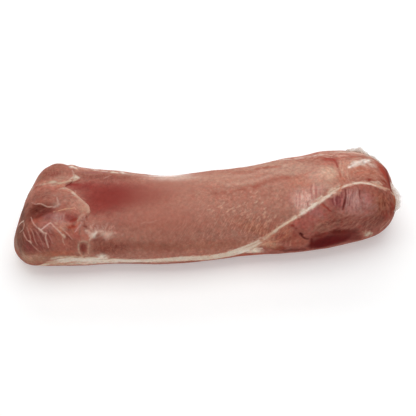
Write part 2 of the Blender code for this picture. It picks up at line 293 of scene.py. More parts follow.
        "near the fat": ((164, 90, 79), (296, 222), 18, 5, 30, 0.8),
        "middle left": ((148, 86, 77), (304, 225), 14, 7, 10, 0.8),
        "olive by the swirl": ((118, 70, 59), (324, 228), 13, 7, 0, 0.75),
        "low left": ((130, 67, 55), (290, 238), 18, 9, 10, 0.9),
        "maroon": ((84, 24, 20), (334, 240), 30, 12, 8, 1.0, 3.0),
        "low maroon": ((84, 24, 20), (322, 244.5), 19, 10, 6, 1.0, 3.0),
        "maroon's left top": ((98, 38, 32), (320, 235), 12, 5, -10, 0.9),
        "maroon's top": ((92, 37, 32), (347, 233), 20, 7, 10, 0.95),
        "maroon's upper part": ((84, 29, 24), (338, 231.6), 14, 4.4, 6, 0.95, 2.0),
        "maroon's right": ((106, 48, 41), (357, 238), 8, 7, 14, 0.9),
        "light by the hook": ((142, 80, 66), (299, 242.5), 11, 8, 6, 0.9, 4.0),
        "dark low rim": ((96, 44, 38), (296, 249.8), 22, 4.2, 6, 0.9, 2.0),
        "red at its left": ((114, 46, 36), (276, 247.8), 12, 4.4, 12, 0.95, 2.0),
        "pale low": ((148, 119, 101), (368.4, 233.6), 5, 3, 20, 0.75),
        "peach under the seam": ((196, 142, 122), (337, 193.4), 7, 3.6, 24, 0.85, 2.0),
        "dark right rim": ((116, 46, 34), (392, 210), 5, 12, 0, 0.95),
        "orange on the rim": ((156, 92, 66), (395, 201), 5, 7, 0, 0.9),
        "red low right": ((118, 50, 42), (386, 216), 6, 8, -20, 0.7),
        "line under the fat": ((168, 130, 108), (62, 263.8), 20, 6, 0, 0.95),
        "line's left part": ((190, 166, 150), (105, 262), 44, 6, 0, 1.0, 2.0),
        "line's middle": ((176, 138, 122), (154, 262.2), 26, 5, 0, 0.9),
        "its white part": ((192, 172, 158), (132, 261.6), 16, 3, 0, 0.9),
        "line's right part": ((138, 86, 70), (200, 261), 34, 5, 2, 0.9),
        "tan fan": ((176, 130, 106), (266, 242), 16, 8, 32, 0.9),
        "white fan": ((202, 184, 166), (249, 250), 17, 7, 16, 1.0, 2.5),
        "line's right": ((156, 84, 68), (250, 257), 30, 6, 12, 0.9),
    },
    "fat_layer": {
        "left end": ((158, 122, 102), (47, 262), 14, 8, 0, 0.95),
        "stain at the back": ((176, 128, 108), (-140, 78, 14), 26, 5, 0, 0.8),
        "second stain at the back": ((184, 142, 122), (30, 84, 18), 34, 5, 2, 0.7),
        "third stain at the back": ((170, 120, 100), (150, 82, 24), 22, 6, 0, 0.8),
        "white under the rump": ((190, 176, 162), (74, 258.6), 20, 6, 0, 0.8),
        "white right of it": ((196, 183, 170), (92, 259.4), 18, 4, 0, 0.8),
        "tan at its foot": ((178, 140, 118), (64, 263.2), 12, 1.8, 0, 0.7),
        "white at its right": ((202, 190, 178), (132, 261.6), 20, 3, 0, 0.85),
        "meat over the band": ((146, 106, 88), (124, 258.3), 33, 2.2, 0, 0.95, 3.0),
        "meat over its middle": ((142, 106, 88), (180, 255.2), 16, 2.0, 2, 0.85, 3.0),
        "meat over its turn": ((154, 106, 88), (259, 239), 12, 3.0, 34, 0.95, 2.0),
        "dull part": ((168, 130, 110), (268, 235), 14, 9, 34, 0.9),
        "wide white part": ((206, 195, 183), (250, 252), 20, 6, 14, 0.7),
        "thin diagonal": ((204, 178, 156), (288, 222), 16, 10, 32, 0.85),
        "bright part": ((228, 210, 194), (308, 208.5), 10, 8, 32, 0.9),
        "upper diagonal": ((216, 194, 175), (327, 196), 20, 12, 32, 0.85),
        "crossing": ((226, 206, 188), (358, 183), 24, 9, 0, 0.9),
        "its right": ((196, 150, 128), (380, 186.5), 6, 5, 0, 0.8),
        "far right": ((142, 78, 63), (389, 192), 9, 7, 0, 1.0),
    },
}

# Forms of the surface: height in millimetres, pixel, reach along and across, lean
FORMS = {
    "upper muscle": (-0.4, (58, 170), 24, 12, 0),
    "upper left shoulder": (1.8, (43, 173), 13, 20, -30),
    "round of the blade end": (1.2, (395, 202), 14, 12, 0),
    "top of the rump": (-2.2, (58, 164), 15, 34, 0),
    "left shoulder": (1.1, (31, 192), 20, 56, -28),
    "low left corner": (-2.8, (18, 252), 10, 12, 0),
    "top of the bulge's left": (-1.2, (303, 155.5), 16, 30, 10),
    "furrow below it": (-1.0, (50, 186), 26, 4, 12),
    "recess": (-1.0, (38, 210), 16, 9, -10),
    "tongue": (1.0, (76, 204), 18, 16, -30),
    "hollow by the tongue": (-0.8, (72, 222), 9, 6, 0),
    "low muscle": (1.2, (34, 240), 22, 14, -30),
    "vessel": (-2.6, (83.2, 249), 4.4, 6.8, 0),
    "low muscle of the eye": (0.9, (110, 247), 26, 10, 0),
    "bulge": (2.0, (324, 176), 20, 17, 10),
    "dip beyond the crease": (-0.8, (346, 166), 7, 14, 0),
    "pillow of the blade": (1.0, (350, 205), 26, 16, 0),
    "dip at the maroon": (-0.8, (332, 240), 24, 7, 6),
    "narrow blade end": (-3.0, (395, 185), 26, 24, 0),
    "hollow at the back": (-1.6, (-60, 70, 60), 70, 9, 4),
    "second hollow at the back": (-1.4, (90, 80, 52), 60, 8, -6),
    "furrow by the back of the rump": (-1.2, (-172, 70, 50), 6, 40, 10),
    "swell at the back": (1.2, (150, 75, 55), 40, 20, 0),
}

# Pale sinews, threads and fat: sRGB, half width in millimetres, strength, height in millimetres and
# the pixels of the line. The lines below are given in the same way.
SINEWS = {
    "first piece under the upper muscle": ((188, 150, 134), 1.2, 0.5, 0.1, [
        (37, 186), (41, 184.8), (45.5, 184)]),
    "second piece": ((192, 158, 138), 1.6, 0.6, 0.1, [(47, 183.4), (53, 181.6), (60, 183), (65, 182.4)]),
    "fat's lower edge": ((204, 172, 148), 1.3, 0.8, 0.2, [
        (58, 183.2), (64, 182.6), (69, 181.2), (74, 180.4), (78, 178.8)]),
    "fat at the notch": ((208, 188, 168), 2.6, 0.9, 0.3, [(71, 180), (74.4, 177.8), (76.6, 177.6)]),
    "fat's tip": ((206, 182, 164), 1.5, 0.8, 0.2, [(74.6, 174.6), (76.4, 177), (78.6, 178.6)]),
    "short mark above it": ((188, 152, 138), 1.3, 0.6, 0.1, [(72.6, 170.4), (73.6, 173), (74.4, 175)]),
    "tongue's rim": ((198, 160, 140), 1.6, 0.7, 0.2, [
        (61, 188.4), (65, 188.2), (69, 189.6), (72.4, 193), (76, 197),
        (80, 200), (84, 203), (87, 207), (88.6, 211)]),
    "pale spot on the rim": ((212, 184, 164), 1.5, 0.85, 0.2, [(72.6, 193.4), (74.4, 194.8)]),
    "tongue's lower rim": ((194, 156, 136), 1.5, 0.65, 0.1, [
        (88, 212.4), (84.4, 214.4), (81, 216), (79, 219.4), (78, 222)]),
    "barb on the tongue": ((200, 152, 136), 0.7, 0.6, 0.1, [(75.4, 190.6), (75.2, 193.4)]),
    "below the tendon": ((184, 140, 128), 1.3, 0.6, 0.1, [(40.4, 231.6), (43, 233.4), (45.4, 235.4)]),
    "pale spot over it": ((196, 150, 128), 1.2, 0.6, 0.1, [(55, 222.8), (59.4, 226.2), (63, 229.4)]),
    "hatch by the rim": ((142, 106, 94), 0.7, 0.45, 0.1, [(27, 207.6), (25.4, 209.6)]),
    "second hatch": ((142, 106, 94), 0.7, 0.45, 0.1, [(25, 206), (23.4, 208.8)]),
    "third hatch": ((138, 98, 86), 0.7, 0.45, 0.1, [(28.6, 210), (26.6, 212.4)]),
    "pink thread": ((202, 150, 142), 0.9, 0.7, 0.1, [(81.4, 221.6), (80.2, 225), (78, 228.2), (74.8, 232)]),
    "pale blotch": ((192, 150, 138), 1.3, 0.55, 0.1, [(56.6, 215.6), (57.8, 218.6), (57, 221.6)]),
    "second blotch": ((188, 142, 130), 1.0, 0.55, 0.1, [(64, 215), (63.6, 218.4), (62, 222.4)]),
    "loop by it": ((184, 140, 128), 0.8, 0.5, 0.1, [(60.8, 216.6), (60.4, 219.4), (61.6, 222)]),
    "ring by the tongue": ((184, 130, 120), 0.8, 0.6, 0.1, [
        (81, 215.6), (84.4, 216.4), (83.6, 219.4), (81.4, 219), (80.8, 217)]),
    "vessel's wall": ((170, 138, 118), 0.9, 0.7, 0.2, [
        (79.4, 242.4), (78.2, 246), (78.6, 250.6), (80.6, 254.4), (84, 256), (87.6, 255)]),
    "vessel's top": ((172, 138, 118), 0.9, 0.65, 0.2, [(80.6, 241.8), (84, 241.2), (87.4, 242)]),
    "beside the vessel": ((176, 138, 116), 0.7, 0.65, 0.2, [
        (92, 236.6), (90, 239.6), (89, 243.8), (88.4, 249), (88.4, 253.6)]),
    "over the low muscle": ((200, 166, 150), 1.8, 0.85, 0.2, [
        (85.8, 231), (89, 232.8), (93, 235.2), (96.6, 234.2), (99, 231.6)]),
    "white in it": ((214, 196, 182), 2.6, 0.95, 0.2, [(92, 236), (94.6, 235.2), (97, 233)]),
    "its middle part": ((196, 160, 144), 3.4, 0.75, 0.2, [
        (101, 232), (104, 234), (107.4, 235.8), (111, 234)]),
    "its right part": ((186, 138, 124), 1.9, 0.55, 0.1, [(115.6, 232.8), (119, 234.4), (122, 234.8)]),
    "spike on it": ((190, 142, 132), 0.9, 0.6, 0.1, [(97, 225.6), (97.4, 228.4), (98.6, 231)]),
    "second spike": ((184, 138, 126), 0.8, 0.5, 0.1, [(91, 226), (93.6, 224.4)]),
    "down from it at the left": ((190, 160, 142), 1.0, 0.7, 0.1, [(94.6, 235), (92, 237), (89.8, 239.4)]),
    "drip below it": ((180, 132, 120), 1.2, 0.5, 0.1, [(105.6, 235.6), (106, 239.6)]),
    "on the top edge": ((222, 204, 190), 2.6, 0.95, 0.3, [(71, 165.6), (72.6, 167), (75.4, 168)]),
    "second on the top edge": ((206, 168, 156), 1.8, 0.75, 0.2, [
        (76, 167.4), (80, 168), (84, 168.8), (90, 170.2)]),
    "third on the top edge": ((216, 194, 182), 2.4, 0.9, 0.2, [(93, 169.8), (97, 170.2)]),
    "fourth on the top edge": ((208, 178, 168), 1.8, 0.8, 0.2, [
        (98.6, 170.9), (103.4, 171.1), (107, 171.6)]),
    "fifth on the top edge": ((222, 200, 182), 2.3, 0.9, 0.3, [(112, 172.2), (117, 172.9)]),
    "sixth on the top edge": ((224, 206, 196), 2.5, 0.9, 0.3, [(121, 171.8), (124, 173.4)]),
    "seventh on the top edge": ((208, 180, 166), 1.6, 0.6, 0.2, [(126, 173.6), (131, 173.8), (138, 174)]),
    "short mark under it": ((184, 138, 124), 1.0, 0.65, 0.1, [(104, 178), (107.4, 176.8), (111, 175.4)]),
    "fat bump": ((200, 185, 170), 3.4, 0.95, 0.5, [
        (99, 257.8), (101.8, 255.8), (103.6, 256.4), (105.6, 258.4)]),
    "white over the band": ((186, 168, 148), 2.4, 0.7, 0.1, [
        (52, 259), (58, 257.6), (66, 257.6), (76, 258), (86, 258), (96, 257.6)]),
    "white at the foot of the band": ((200, 186, 172), 2.6, 0.85, 0.1, [
        (84, 261.2), (96, 261.4), (110, 261.8), (124, 261.6), (140, 261.4)]),
    "lower strand": ((204, 184, 168), 1.5, 0.6, 0.1, [(238, 251.4), (246, 250), (254, 249), (262, 248.4)]),
    "upper strand": ((196, 172, 152), 1.8, 0.5, 0.1, [(232, 251.8), (242, 249), (250, 246.6), (256, 244)]),
    "meat along the seam": ((162, 102, 84), 1.4, 0.8, 0.0, [
        (263, 243.6), (269, 239.4), (277, 232.8), (285, 226.6), (292, 222)]),
    "core of the thin seam": ((204, 176, 152), 0.9, 0.75, 0.1, [
        (264, 240.4), (269, 235.4), (275, 230.4), (281, 226.2), (287, 222.8), (292, 220.4)]),
    "core of the upper seam": ((224, 206, 188), 1.6, 0.9, 0.1, [
        (311, 208.2), (314, 206.2), (318, 203.8), (322, 200.4), (326, 197.6), (330, 195.4), (335, 192.6)]),
    "peach under the turn": ((198, 142, 122), 1.6, 0.75, 0.1, [
        (331, 197.6), (334, 195.2), (338, 192.8), (341, 190.8)]),
    "line in the fan": ((168, 128, 106), 0.9, 0.6, 0.0, [(246, 247.4), (254, 244.4), (262, 240.6)]),
    "second line in the fan": ((180, 144, 120), 0.9, 0.6, 0.0, [(250, 249), (258, 246.6), (266, 243)]),
    "first rag of the seam": ((210, 184, 160), 0.9, 0.7, 0.1, [(284, 224.4), (286, 223), (288.4, 221.4)]),
    "second rag": ((216, 190, 168), 1.2, 0.6, 0.1, [(291, 218.6), (293.4, 217), (295.4, 215.8)]),
    "third rag": ((224, 202, 182), 1.1, 0.6, 0.1, [(298.6, 214), (301.6, 211.8), (304.6, 209.4)]),
    "broad part of the seam": ((230, 212, 196), 2.4, 0.85, 0.1, [
        (302, 213), (306, 210.4), (310, 207.6), (312.6, 205.2)]),
    "fourth rag": ((226, 206, 186), 1.6, 0.8, 0.1, [(312, 207), (314.4, 205.6), (317, 203.4)]),
    "fifth rag": ((220, 198, 178), 1.4, 0.8, 0.1, [(317, 199.8), (319.4, 198.4), (321.4, 196.8)]),
    "sixth rag": ((222, 198, 178), 1.4, 0.75, 0.1, [(324, 199), (326, 197.8), (328, 196.2)]),
    "seventh rag": ((218, 188, 166), 1.5, 0.75, 0.1, [(328, 192.6), (330.4, 191), (332.6, 189.4)]),
    "on the blade end": ((236, 220, 208), 2.4, 0.95, 0.2, [
        (349.4, 167), (352.4, 165.4), (356, 163.8), (360, 162.4)]),
    "its broad part": ((238, 222, 212), 2.7, 0.95, 0.3, [
        (356, 164), (361, 162.6), (365, 161.6), (369, 160.6)]),
    "its barb": ((220, 196, 180), 1.0, 0.75, 0.2, [(351.4, 163.6), (354, 161.8), (357, 160.8)]),
    "its second barb": ((218, 192, 176), 0.9, 0.7, 0.2, [(357, 165.4), (360.4, 164), (363, 163.4)]),
    "its right part on the blade": ((210, 178, 162), 1.4, 0.7, 0.2, [
        (368, 159.6), (371, 159.4), (373.6, 160.4)]),
    "fuzz over it": ((206, 170, 152), 1.2, 0.5, 0.1, [(352, 159.6), (357, 158.4), (362, 157.8)]),
    "ridge by the crease": ((204, 160, 140), 1.5, 0.6, 0.2, [(340.4, 161), (341, 167), (343, 173)]),
    "second ridge": ((202, 158, 138), 1.2, 0.5, 0.1, [(344, 160.6), (346, 167), (347.4, 176)]),
    "fringe over the seam": ((214, 178, 156), 2.2, 0.8, 0.2, [(334.6, 189.4), (337, 188), (339, 185.6)]),
    "fringe's top": ((206, 152, 134), 1.0, 0.6, 0.1, [(334, 186.4), (337.6, 185), (339.6, 183)]),
    "fringe at the right": ((188, 156, 134), 1.5, 0.5, 0.1, [(371, 181.4), (376, 182.4), (382, 184)]),
    "seam's thin end": ((204, 156, 132), 1.0, 0.9, 0.2, [
        (375, 184.6), (379, 185.8), (383, 187.2), (387, 188.2), (391, 189)]),
    "low pale spot": ((188, 174, 156), 2.0, 0.75, 0.1, [(366.6, 234.8), (369.6, 233.2)]),
    "second low spot": ((150, 112, 94), 1.0, 0.4, 0.1, [(362.6, 231.4), (365, 235.4)]),
    "third low spot": ((150, 112, 96), 0.9, 0.6, 0.1, [(370, 228.4), (372, 226.4)]),
    "pale lower rim": ((176, 138, 120), 0.8, 0.8, 0.1, [
        (380.6, 229.4), (384, 226.2), (387.4, 222.8), (390, 219.4)]),
    "faint line": ((186, 136, 120), 0.8, 0.45, 0.1, [(141, 224), (145, 222.4), (150, 222.8), (156, 220.6)]),
    "silver skin at the back": ((206, 176, 164), 3.2, 0.55, 0.1, [
        (-120, 60, 78), (-60, 62, 76), (0, 72, 74), (50, 76, 70)]),
    "fat thread at the back": ((208, 178, 160), 1.1, 0.55, 0.1, [
        (-148, 68, 62), (-128, 67, 57), (-104, 66, 57)]),
    "second thread": ((204, 168, 150), 0.9, 0.5, 0.1, [(-92, 66, 52), (-76, 66, 55), (-58, 68, 54)]),
    "third thread": ((206, 174, 156), 1.0, 0.5, 0.1, [
        (-36, 70, 58), (-16, 72, 54), (8, 76, 56), (22, 78, 61)]),
    "fourth thread": ((204, 168, 150), 1.0, 0.55, 0.1, [(52, 82, 42), (74, 82, 47), (92, 82, 46)]),
    "fifth thread": ((208, 178, 160), 1.1, 0.55, 0.1, [(112, 82, 52), (134, 80, 54), (152, 78, 60)]),
    "sixth thread": ((200, 160, 142), 0.9, 0.45, 0.1, [(168, 78, 38), (184, 74, 44), (198, 68, 52)]),
    "sinew by the back of the rump": ((202, 168, 150), 1.2, 0.6, 0.1, [
        (-160, 40, 88), (-168, 60, 78), (-170, 72, 58), (-176, 74, 36), (-172, 72, 20)]),
    "thread on the blade end": ((210, 180, 162), 1.1, 0.65, 0.2, [
        (236, 10, 60), (240, 20, 45), (238, 40, 35)]),
}

# Tendons and veins of the rump, which run on without a break
TENDONS = {
    "vein's left": ((182, 134, 122), 0.8, 0.6, 0.1, [(32, 202.6), (36, 204.4), (39, 203.6)]),
    "vein across the rump": ((200, 160, 144), 0.8, 0.8, 0.1, [
        (38, 203.8), (41, 203.8), (44, 205.4), (48, 206.6), (52, 206.8), (55, 207.2)]),
    "vein's hook": ((192, 156, 142), 1.1, 0.6, 0.1, [(57, 198), (57.8, 201), (58.6, 204.6)]),
    "film at the hook": ((188, 154, 142), 2.0, 0.55, 0.1, [(55, 206.6), (57, 206.2), (58.8, 204.8)]),
    "long tendon": ((194, 148, 134), 0.8, 0.75, 0.2, [
        (30.6, 217), (32, 220), (34.4, 224.6), (37.6, 228), (41, 230.6)]),
    "tendon's pale part": ((204, 170, 154), 1.0, 0.8, 0.2, [
        (39, 228.6), (41.6, 231), (44, 233), (46.2, 233.6)]),
    "down from it": ((190, 150, 136), 0.85, 0.8, 0.2, [
        (46, 233.4), (45.6, 237.6), (46.8, 242), (48.6, 247.6)]),
    "right from it": ((174, 122, 110), 0.8, 0.55, 0.1, [
        (46.6, 232.8), (49, 235.4), (51, 239.6), (53, 243.6)]),
    "tendon's branch": ((212, 170, 160), 0.85, 0.85, 0.2, [
        (41.4, 229.8), (44.6, 227.4), (47.6, 224.8), (50.4, 223)]),
    "branch's right": ((204, 166, 150), 0.85, 0.8, 0.2, [
        (50.4, 223), (53.4, 226), (57, 229.4), (60, 232.4), (62.8, 235.4)]),
    "branch's knot": ((192, 162, 142), 1.5, 0.75, 0.2, [(62.8, 235), (64.4, 236.8)]),
    "down from the knot": ((180, 138, 120), 0.85, 0.6, 0.1, [(62.6, 238), (63, 241), (64.6, 245)]),
    "thin sinew": ((188, 138, 124), 0.7, 0.65, 0.1, [(62, 228.8), (65.6, 232), (69, 235.4), (72, 239)]),
    "left nick": ((206, 178, 164), 0.95, 0.85, 0.2, [(18.4, 226.4), (20, 223.6), (23.6, 220.8)]),
    "left fork": ((182, 146, 130), 0.75, 0.75, 0.1, [
        (23.6, 221.4), (24, 225.6), (22.8, 229.8), (19.8, 232.4)]),
    "left sinew": ((182, 138, 124), 0.75, 0.75, 0.2, [
        (23, 231.6), (25.4, 236.4), (28, 240.2), (31, 241.8)]),
    "its lower part": ((166, 120, 106), 0.7, 0.55, 0.1, [(31, 242), (34, 246), (38, 250), (41, 252)]),
    "second left sinew": ((174, 126, 112), 0.7, 0.7, 0.2, [
        (26.6, 227), (29.4, 233), (31, 238), (31.4, 241.6)]),
    "third left sinew": ((174, 126, 112), 0.7, 0.7, 0.2, [
        (30.4, 228.4), (33.4, 234), (35, 239.4), (37.6, 244.6)]),
    "fourth left sinew": ((164, 114, 102), 0.7, 0.55, 0.1, [
        (36, 231), (39.4, 236.4), (42, 242), (44, 247)]),
    "left knot": ((188, 148, 130), 1.1, 0.7, 0.2, [(30, 241), (31.4, 243)]),
}

# Creases, cuts and dark streaks. Their dark lines are partly the meat's own deeper red and partly
# painted shade in the folds and under edges, and the pale fold and the pale marks beside the creases
# are partly painted highlights on the ridges.
DEEP_RED = (120, 44, 38)
DARK = (76, 26, 22)
CREASES = {
    # The notch and its upper edge are painted shadow under the tip of the fat.
    "notch's upper edge": ((130, 54, 50), 0.9, 0.7, -0.3, [
        (66.6, 183.6), (69, 182.8), (72, 182.2), (77, 181.4), (80, 180)]),
    "notch": ((146, 66, 60), 2.0, 0.8, -0.4, [(66, 185.4), (70, 185), (75, 184.8), (81, 184)]),
    "bulge's crease": ((156, 64, 57), 1.6, 0.8, -0.7, [
        (326, 158.6), (331, 158.2), (334.4, 160), (336.4, 163), (338, 167)]),
    "crease's end": ((172, 94, 77), 1.0, 0.5, -0.4, [(338.4, 168), (339.6, 173.4), (340.6, 178)]),
    "upright crease": ((106, 44, 42), 1.2, 0.9, -0.6, [
        (345.6, 189.6), (345.6, 196), (345, 202), (343.6, 206.4), (342.8, 209.6)]),
    "its dark part": ((98, 40, 36), 1.0, 0.8, -0.4, [(344.8, 199.6), (344, 204), (343, 207)]),
    "salmon beside it": ((180, 108, 100), 1.0, 0.8, 0.1, [(342.6, 197), (342, 202), (341.2, 206)]),
    "dark left of it": ((122, 58, 59), 1.2, 0.7, -0.3, [(342, 191.4), (341.4, 195), (342, 198.4)]),
    "second left of it": ((120, 58, 59), 1.0, 0.75, -0.4, [(337.4, 194.6), (336.4, 199), (337, 204)]),
    "third left of it": ((116, 54, 54), 0.9, 0.75, -0.4, [(333, 195), (332.4, 200), (333.6, 205)]),
    "pale between them": ((186, 130, 124), 0.8, 0.6, 0.1, [(335, 194), (334.4, 200), (335.4, 205)]),
    "crease over the seam": ((146, 84, 73), 0.9, 0.6, -0.3, [(356.4, 183.4), (357.6, 187), (359.8, 190)]),
    "line down from it": ((122, 60, 55), 1.0, 0.85, -0.4, [(359.8, 190), (359.4, 194), (360.4, 198.6)]),
    "low end of the line": ((136, 76, 70), 0.8, 0.5, -0.2, [(361.8, 200), (362.4, 205), (362, 210)]),
    "arc right of it": ((136, 78, 68), 0.8, 0.5, -0.2, [(360.6, 190.6), (364, 192.2), (369, 192.6)]),
    "short crease": ((134, 54, 48), 1.3, 0.8, -0.4, [
        (322.6, 204), (325.4, 206.6), (328.4, 209.4), (331, 211)]),
    "red by the fat": ((160, 78, 64), 1.4, 0.6, -0.1, [(319.6, 202), (322, 204.6), (325, 207)]),
    "hook's start": (DARK, 1.8, 0.9, -0.5, [(300.4, 233.8), (302, 235)]),
    "hook": (DARK, 1.2, 0.9, -0.5, [(300.4, 233.6), (302.6, 236.6), (305.4, 238.8), (308.6, 239.2)]),
    "dot": (DEEP_RED, 1.5, 0.85, -0.2, [(291.8, 225.6), (293, 225.8)]),
    "second dot": (DEEP_RED, 0.9, 0.6, -0.2, [(295.6, 228.4), (296.6, 228.4)]),
    "dot in the blade top": ((132, 42, 35), 1.3, 0.8, -0.2, [(368.8, 180.2), (370, 180)]),
    "red right of it": ((142, 58, 46), 1.0, 0.6, -0.1, [(383, 185.4), (386.4, 185.8), (390, 186.8)]),
    "dark edge of the rim": ((96, 30, 24), 1.2, 0.8, 0.0, [
        (384, 166.6), (387.6, 171), (390, 176), (391.4, 181), (392, 186)]),
    "dark edge of the end": ((104, 38, 30), 1.2, 0.7, 0.0, [
        (394, 199), (394.6, 205), (394, 211), (391, 217)]),
    "edge of the maroon": ((86, 27, 23), 1.8, 0.9, -0.2, [(311.6, 239), (311.8, 243), (311.6, 248)]),
    "dark under the band": ((110, 56, 49), 1.6, 0.55, -0.3, [
        (94, 237.4), (98, 236), (103, 236.4), (107, 238.6)]),
    "dark spot by the tongue": ((120, 52, 46), 1.4, 0.75, -0.4, [(84, 226.4), (86, 226.6)]),
    "short dark above it": ((136, 62, 54), 0.9, 0.6, -0.3, [(86.6, 216), (86.8, 220)]),
    "line between them": ((134, 64, 56), 0.8, 0.6, -0.3, [(84, 221), (84.6, 224.6)]),
    "crimson under the tongue": ((146, 56, 48), 1.8, 0.5, -0.2, [
        (70.6, 221.4), (73.6, 220.6), (76.6, 219.4)]),
    "red in the orange": ((146, 56, 44), 1.8, 0.55, -0.2, [(68.4, 227.6), (72, 227), (75.4, 226.4)]),
    "dark in the low rump": ((112, 52, 46), 1.3, 0.65, -0.3, [(66, 236.6), (69, 237.4), (70.8, 239)]),
    "low furrow": ((104, 53, 47), 0.9, 0.65, -0.3, [(24.6, 231), (27, 235.6), (29, 239)]),
    "second low furrow": ((112, 55, 49), 1.3, 0.65, -0.3, [(48, 235.6), (49.6, 239), (50.6, 242)]),
    "third low furrow": ((108, 57, 51), 0.9, 0.6, -0.3, [(31.6, 232), (34, 237), (36.4, 242)]),
    "fourth low furrow": ((110, 57, 51), 0.9, 0.55, -0.3, [(37, 231.6), (40, 236.4), (43, 243)]),
    "far low furrow": ((98, 51, 45), 1.2, 0.7, -0.3, [(20.6, 226.4), (21.2, 229)]),
    "furrow under the vein": ((112, 60, 52), 1.0, 0.5, -0.1, [
        (33, 205.4), (39, 206), (45, 208.4), (52, 209.6)]),
    "first wrinkle": ((178, 117, 109), 0.9, 0.7, -0.3, [(296.6, 196), (296.2, 201), (296.8, 206)]),
    "second wrinkle": ((178, 117, 109), 0.9, 0.7, -0.3, [(299.4, 192), (300, 198), (299.2, 206)]),
    "third wrinkle": ((170, 107, 99), 0.9, 0.75, -0.3, [(311.4, 185.6), (311.2, 192), (312, 199)]),
    "fourth wrinkle": ((166, 101, 94), 0.9, 0.75, -0.3, [(315.8, 186), (316, 191), (315.8, 198)]),
    "fifth wrinkle": ((170, 105, 95), 0.8, 0.7, -0.3, [(320.2, 189.6), (320.4, 194), (321, 197.6)]),
    "pale fold": ((216, 172, 158), 0.9, 0.6, 0.1, [(313.6, 184), (313.4, 188), (313.8, 194)]),
    "sixth wrinkle": ((160, 97, 89), 0.9, 0.7, -0.3, [(307.6, 202.6), (308, 206)]),
    "seventh wrinkle": ((186, 127, 117), 0.8, 0.5, -0.2, [(304, 190), (304.4, 196), (304, 203)]),
    "edge of the sheen": ((172, 110, 100), 0.9, 0.5, -0.2, [(290, 191), (289.6, 198), (290.4, 205)]),
    "furrow at the back": ((150, 86, 74), 1.4, 0.5, -0.5, [
        (-110, 70, 66), (-50, 70, 62), (10, 78, 64), (60, 82, 62)]),
    "second furrow at the back": ((148, 82, 70), 1.4, 0.5, -0.5, [
        (70, 82, 40), (120, 82, 44), (170, 74, 52)]),
}

# Wide soft streaks, and the curls of the blade end
STREAKS = {
    "upper streak": ((168, 104, 88), 2.4, 0.5, 0.0, [(228, 172.4), (240, 173), (252, 171.6)]),
    "its right part": ((166, 102, 87), 3.0, 0.75, 0.0, [
        (256, 169.2), (263, 168.2), (271, 167.2), (280, 166.6)]),
    "long streak": ((160, 92, 78), 3.6, 0.6, -0.1, [(212, 193.4), (222, 193), (232, 192)]),
    "long streak's middle": ((160, 90, 76), 3.8, 0.65, -0.1, [(236, 191), (246, 188.8), (257, 186.6)]),
    "long streak's right": ((164, 92, 78), 3.8, 0.7, -0.1, [
        (255, 186.6), (264, 182.6), (274, 179.8), (288, 177)]),
    "red over the thin seam": ((150, 80, 68), 2.0, 0.6, 0.0, [(270, 227.4), (276, 222), (283, 219.6)]),
    "streak by the bulge": ((174, 106, 90), 1.6, 0.5, 0.0, [
        (281, 178), (290, 178.4), (302, 175.6), (312, 172)]),
    "streak at the top right": ((176, 106, 92), 1.4, 0.5, 0.0, [(296, 154.6), (312, 153), (326, 153.6)]),
    "red on the top rim": ((166, 74, 64), 1.6, 0.6, 0.0, [(314, 152), (318, 151.8), (322, 152)]),
    "second at the top right": ((180, 108, 92), 1.2, 0.5, 0.0, [(344, 157), (352, 157), (358, 156)]),
    "pale above the streak": ((196, 152, 135), 2.6, 0.6, 0.0, [
        (226, 186), (246, 182.4), (266, 176.8), (284, 171)]),
    "pale by the top": ((200, 157, 140), 2.2, 0.4, 0.0, [(220, 176), (244, 175.6), (266, 171), (290, 164)]),
    # The pale top rim is the meat's paler edge with a painted highlight along it.
    "pale top rim": ((206, 182, 170), 2.8, 0.8, 0.0, [
        (280, 160), (290, 158.6), (301, 157), (314, 155.4), (326, 154.6)]),
    "purple rim of the top": ((148, 86, 81), 1.4, 0.6, 0.0, [
        (77, 166), (92, 168.6), (104, 170), (115, 171)]),
    "arc of the swirl": ((150, 106, 89), 1.2, 0.55, 0.1, [
        (312, 232.4), (315, 229), (318, 226), (320.6, 224)]),
    "inner arc": ((146, 100, 86), 1.0, 0.5, 0.1, [(318, 230.6), (321.6, 227), (325, 225.4)]),
    "loop of the swirl": ((140, 92, 80), 0.9, 0.5, 0.1, [
        (325, 226), (328.4, 227.4), (328, 231), (325, 231.6)]),
    "curl over the low blade": ((158, 112, 100), 1.0, 0.5, 0.1, [
        (338, 212), (346, 215), (356, 213), (364, 207)]),
    "second curl": ((150, 104, 94), 0.9, 0.5, 0.1, [(350, 219), (360, 218), (370, 212), (376, 204)]),
    "third curl": ((142, 96, 84), 0.9, 0.5, 0.1, [(358, 224), (368, 221), (378, 214), (383, 205)]),
    "orange in the end's rim": ((176, 104, 76), 1.1, 0.6, 0.1, [(393.6, 196), (395, 200), (395, 204)]),
    "swell along the back": ((186, 132, 116), 5.0, 0.4, 0.2, [
        (-140, 55, 84), (-60, 55, 80), (30, 66, 80), (110, 74, 80)]),
}

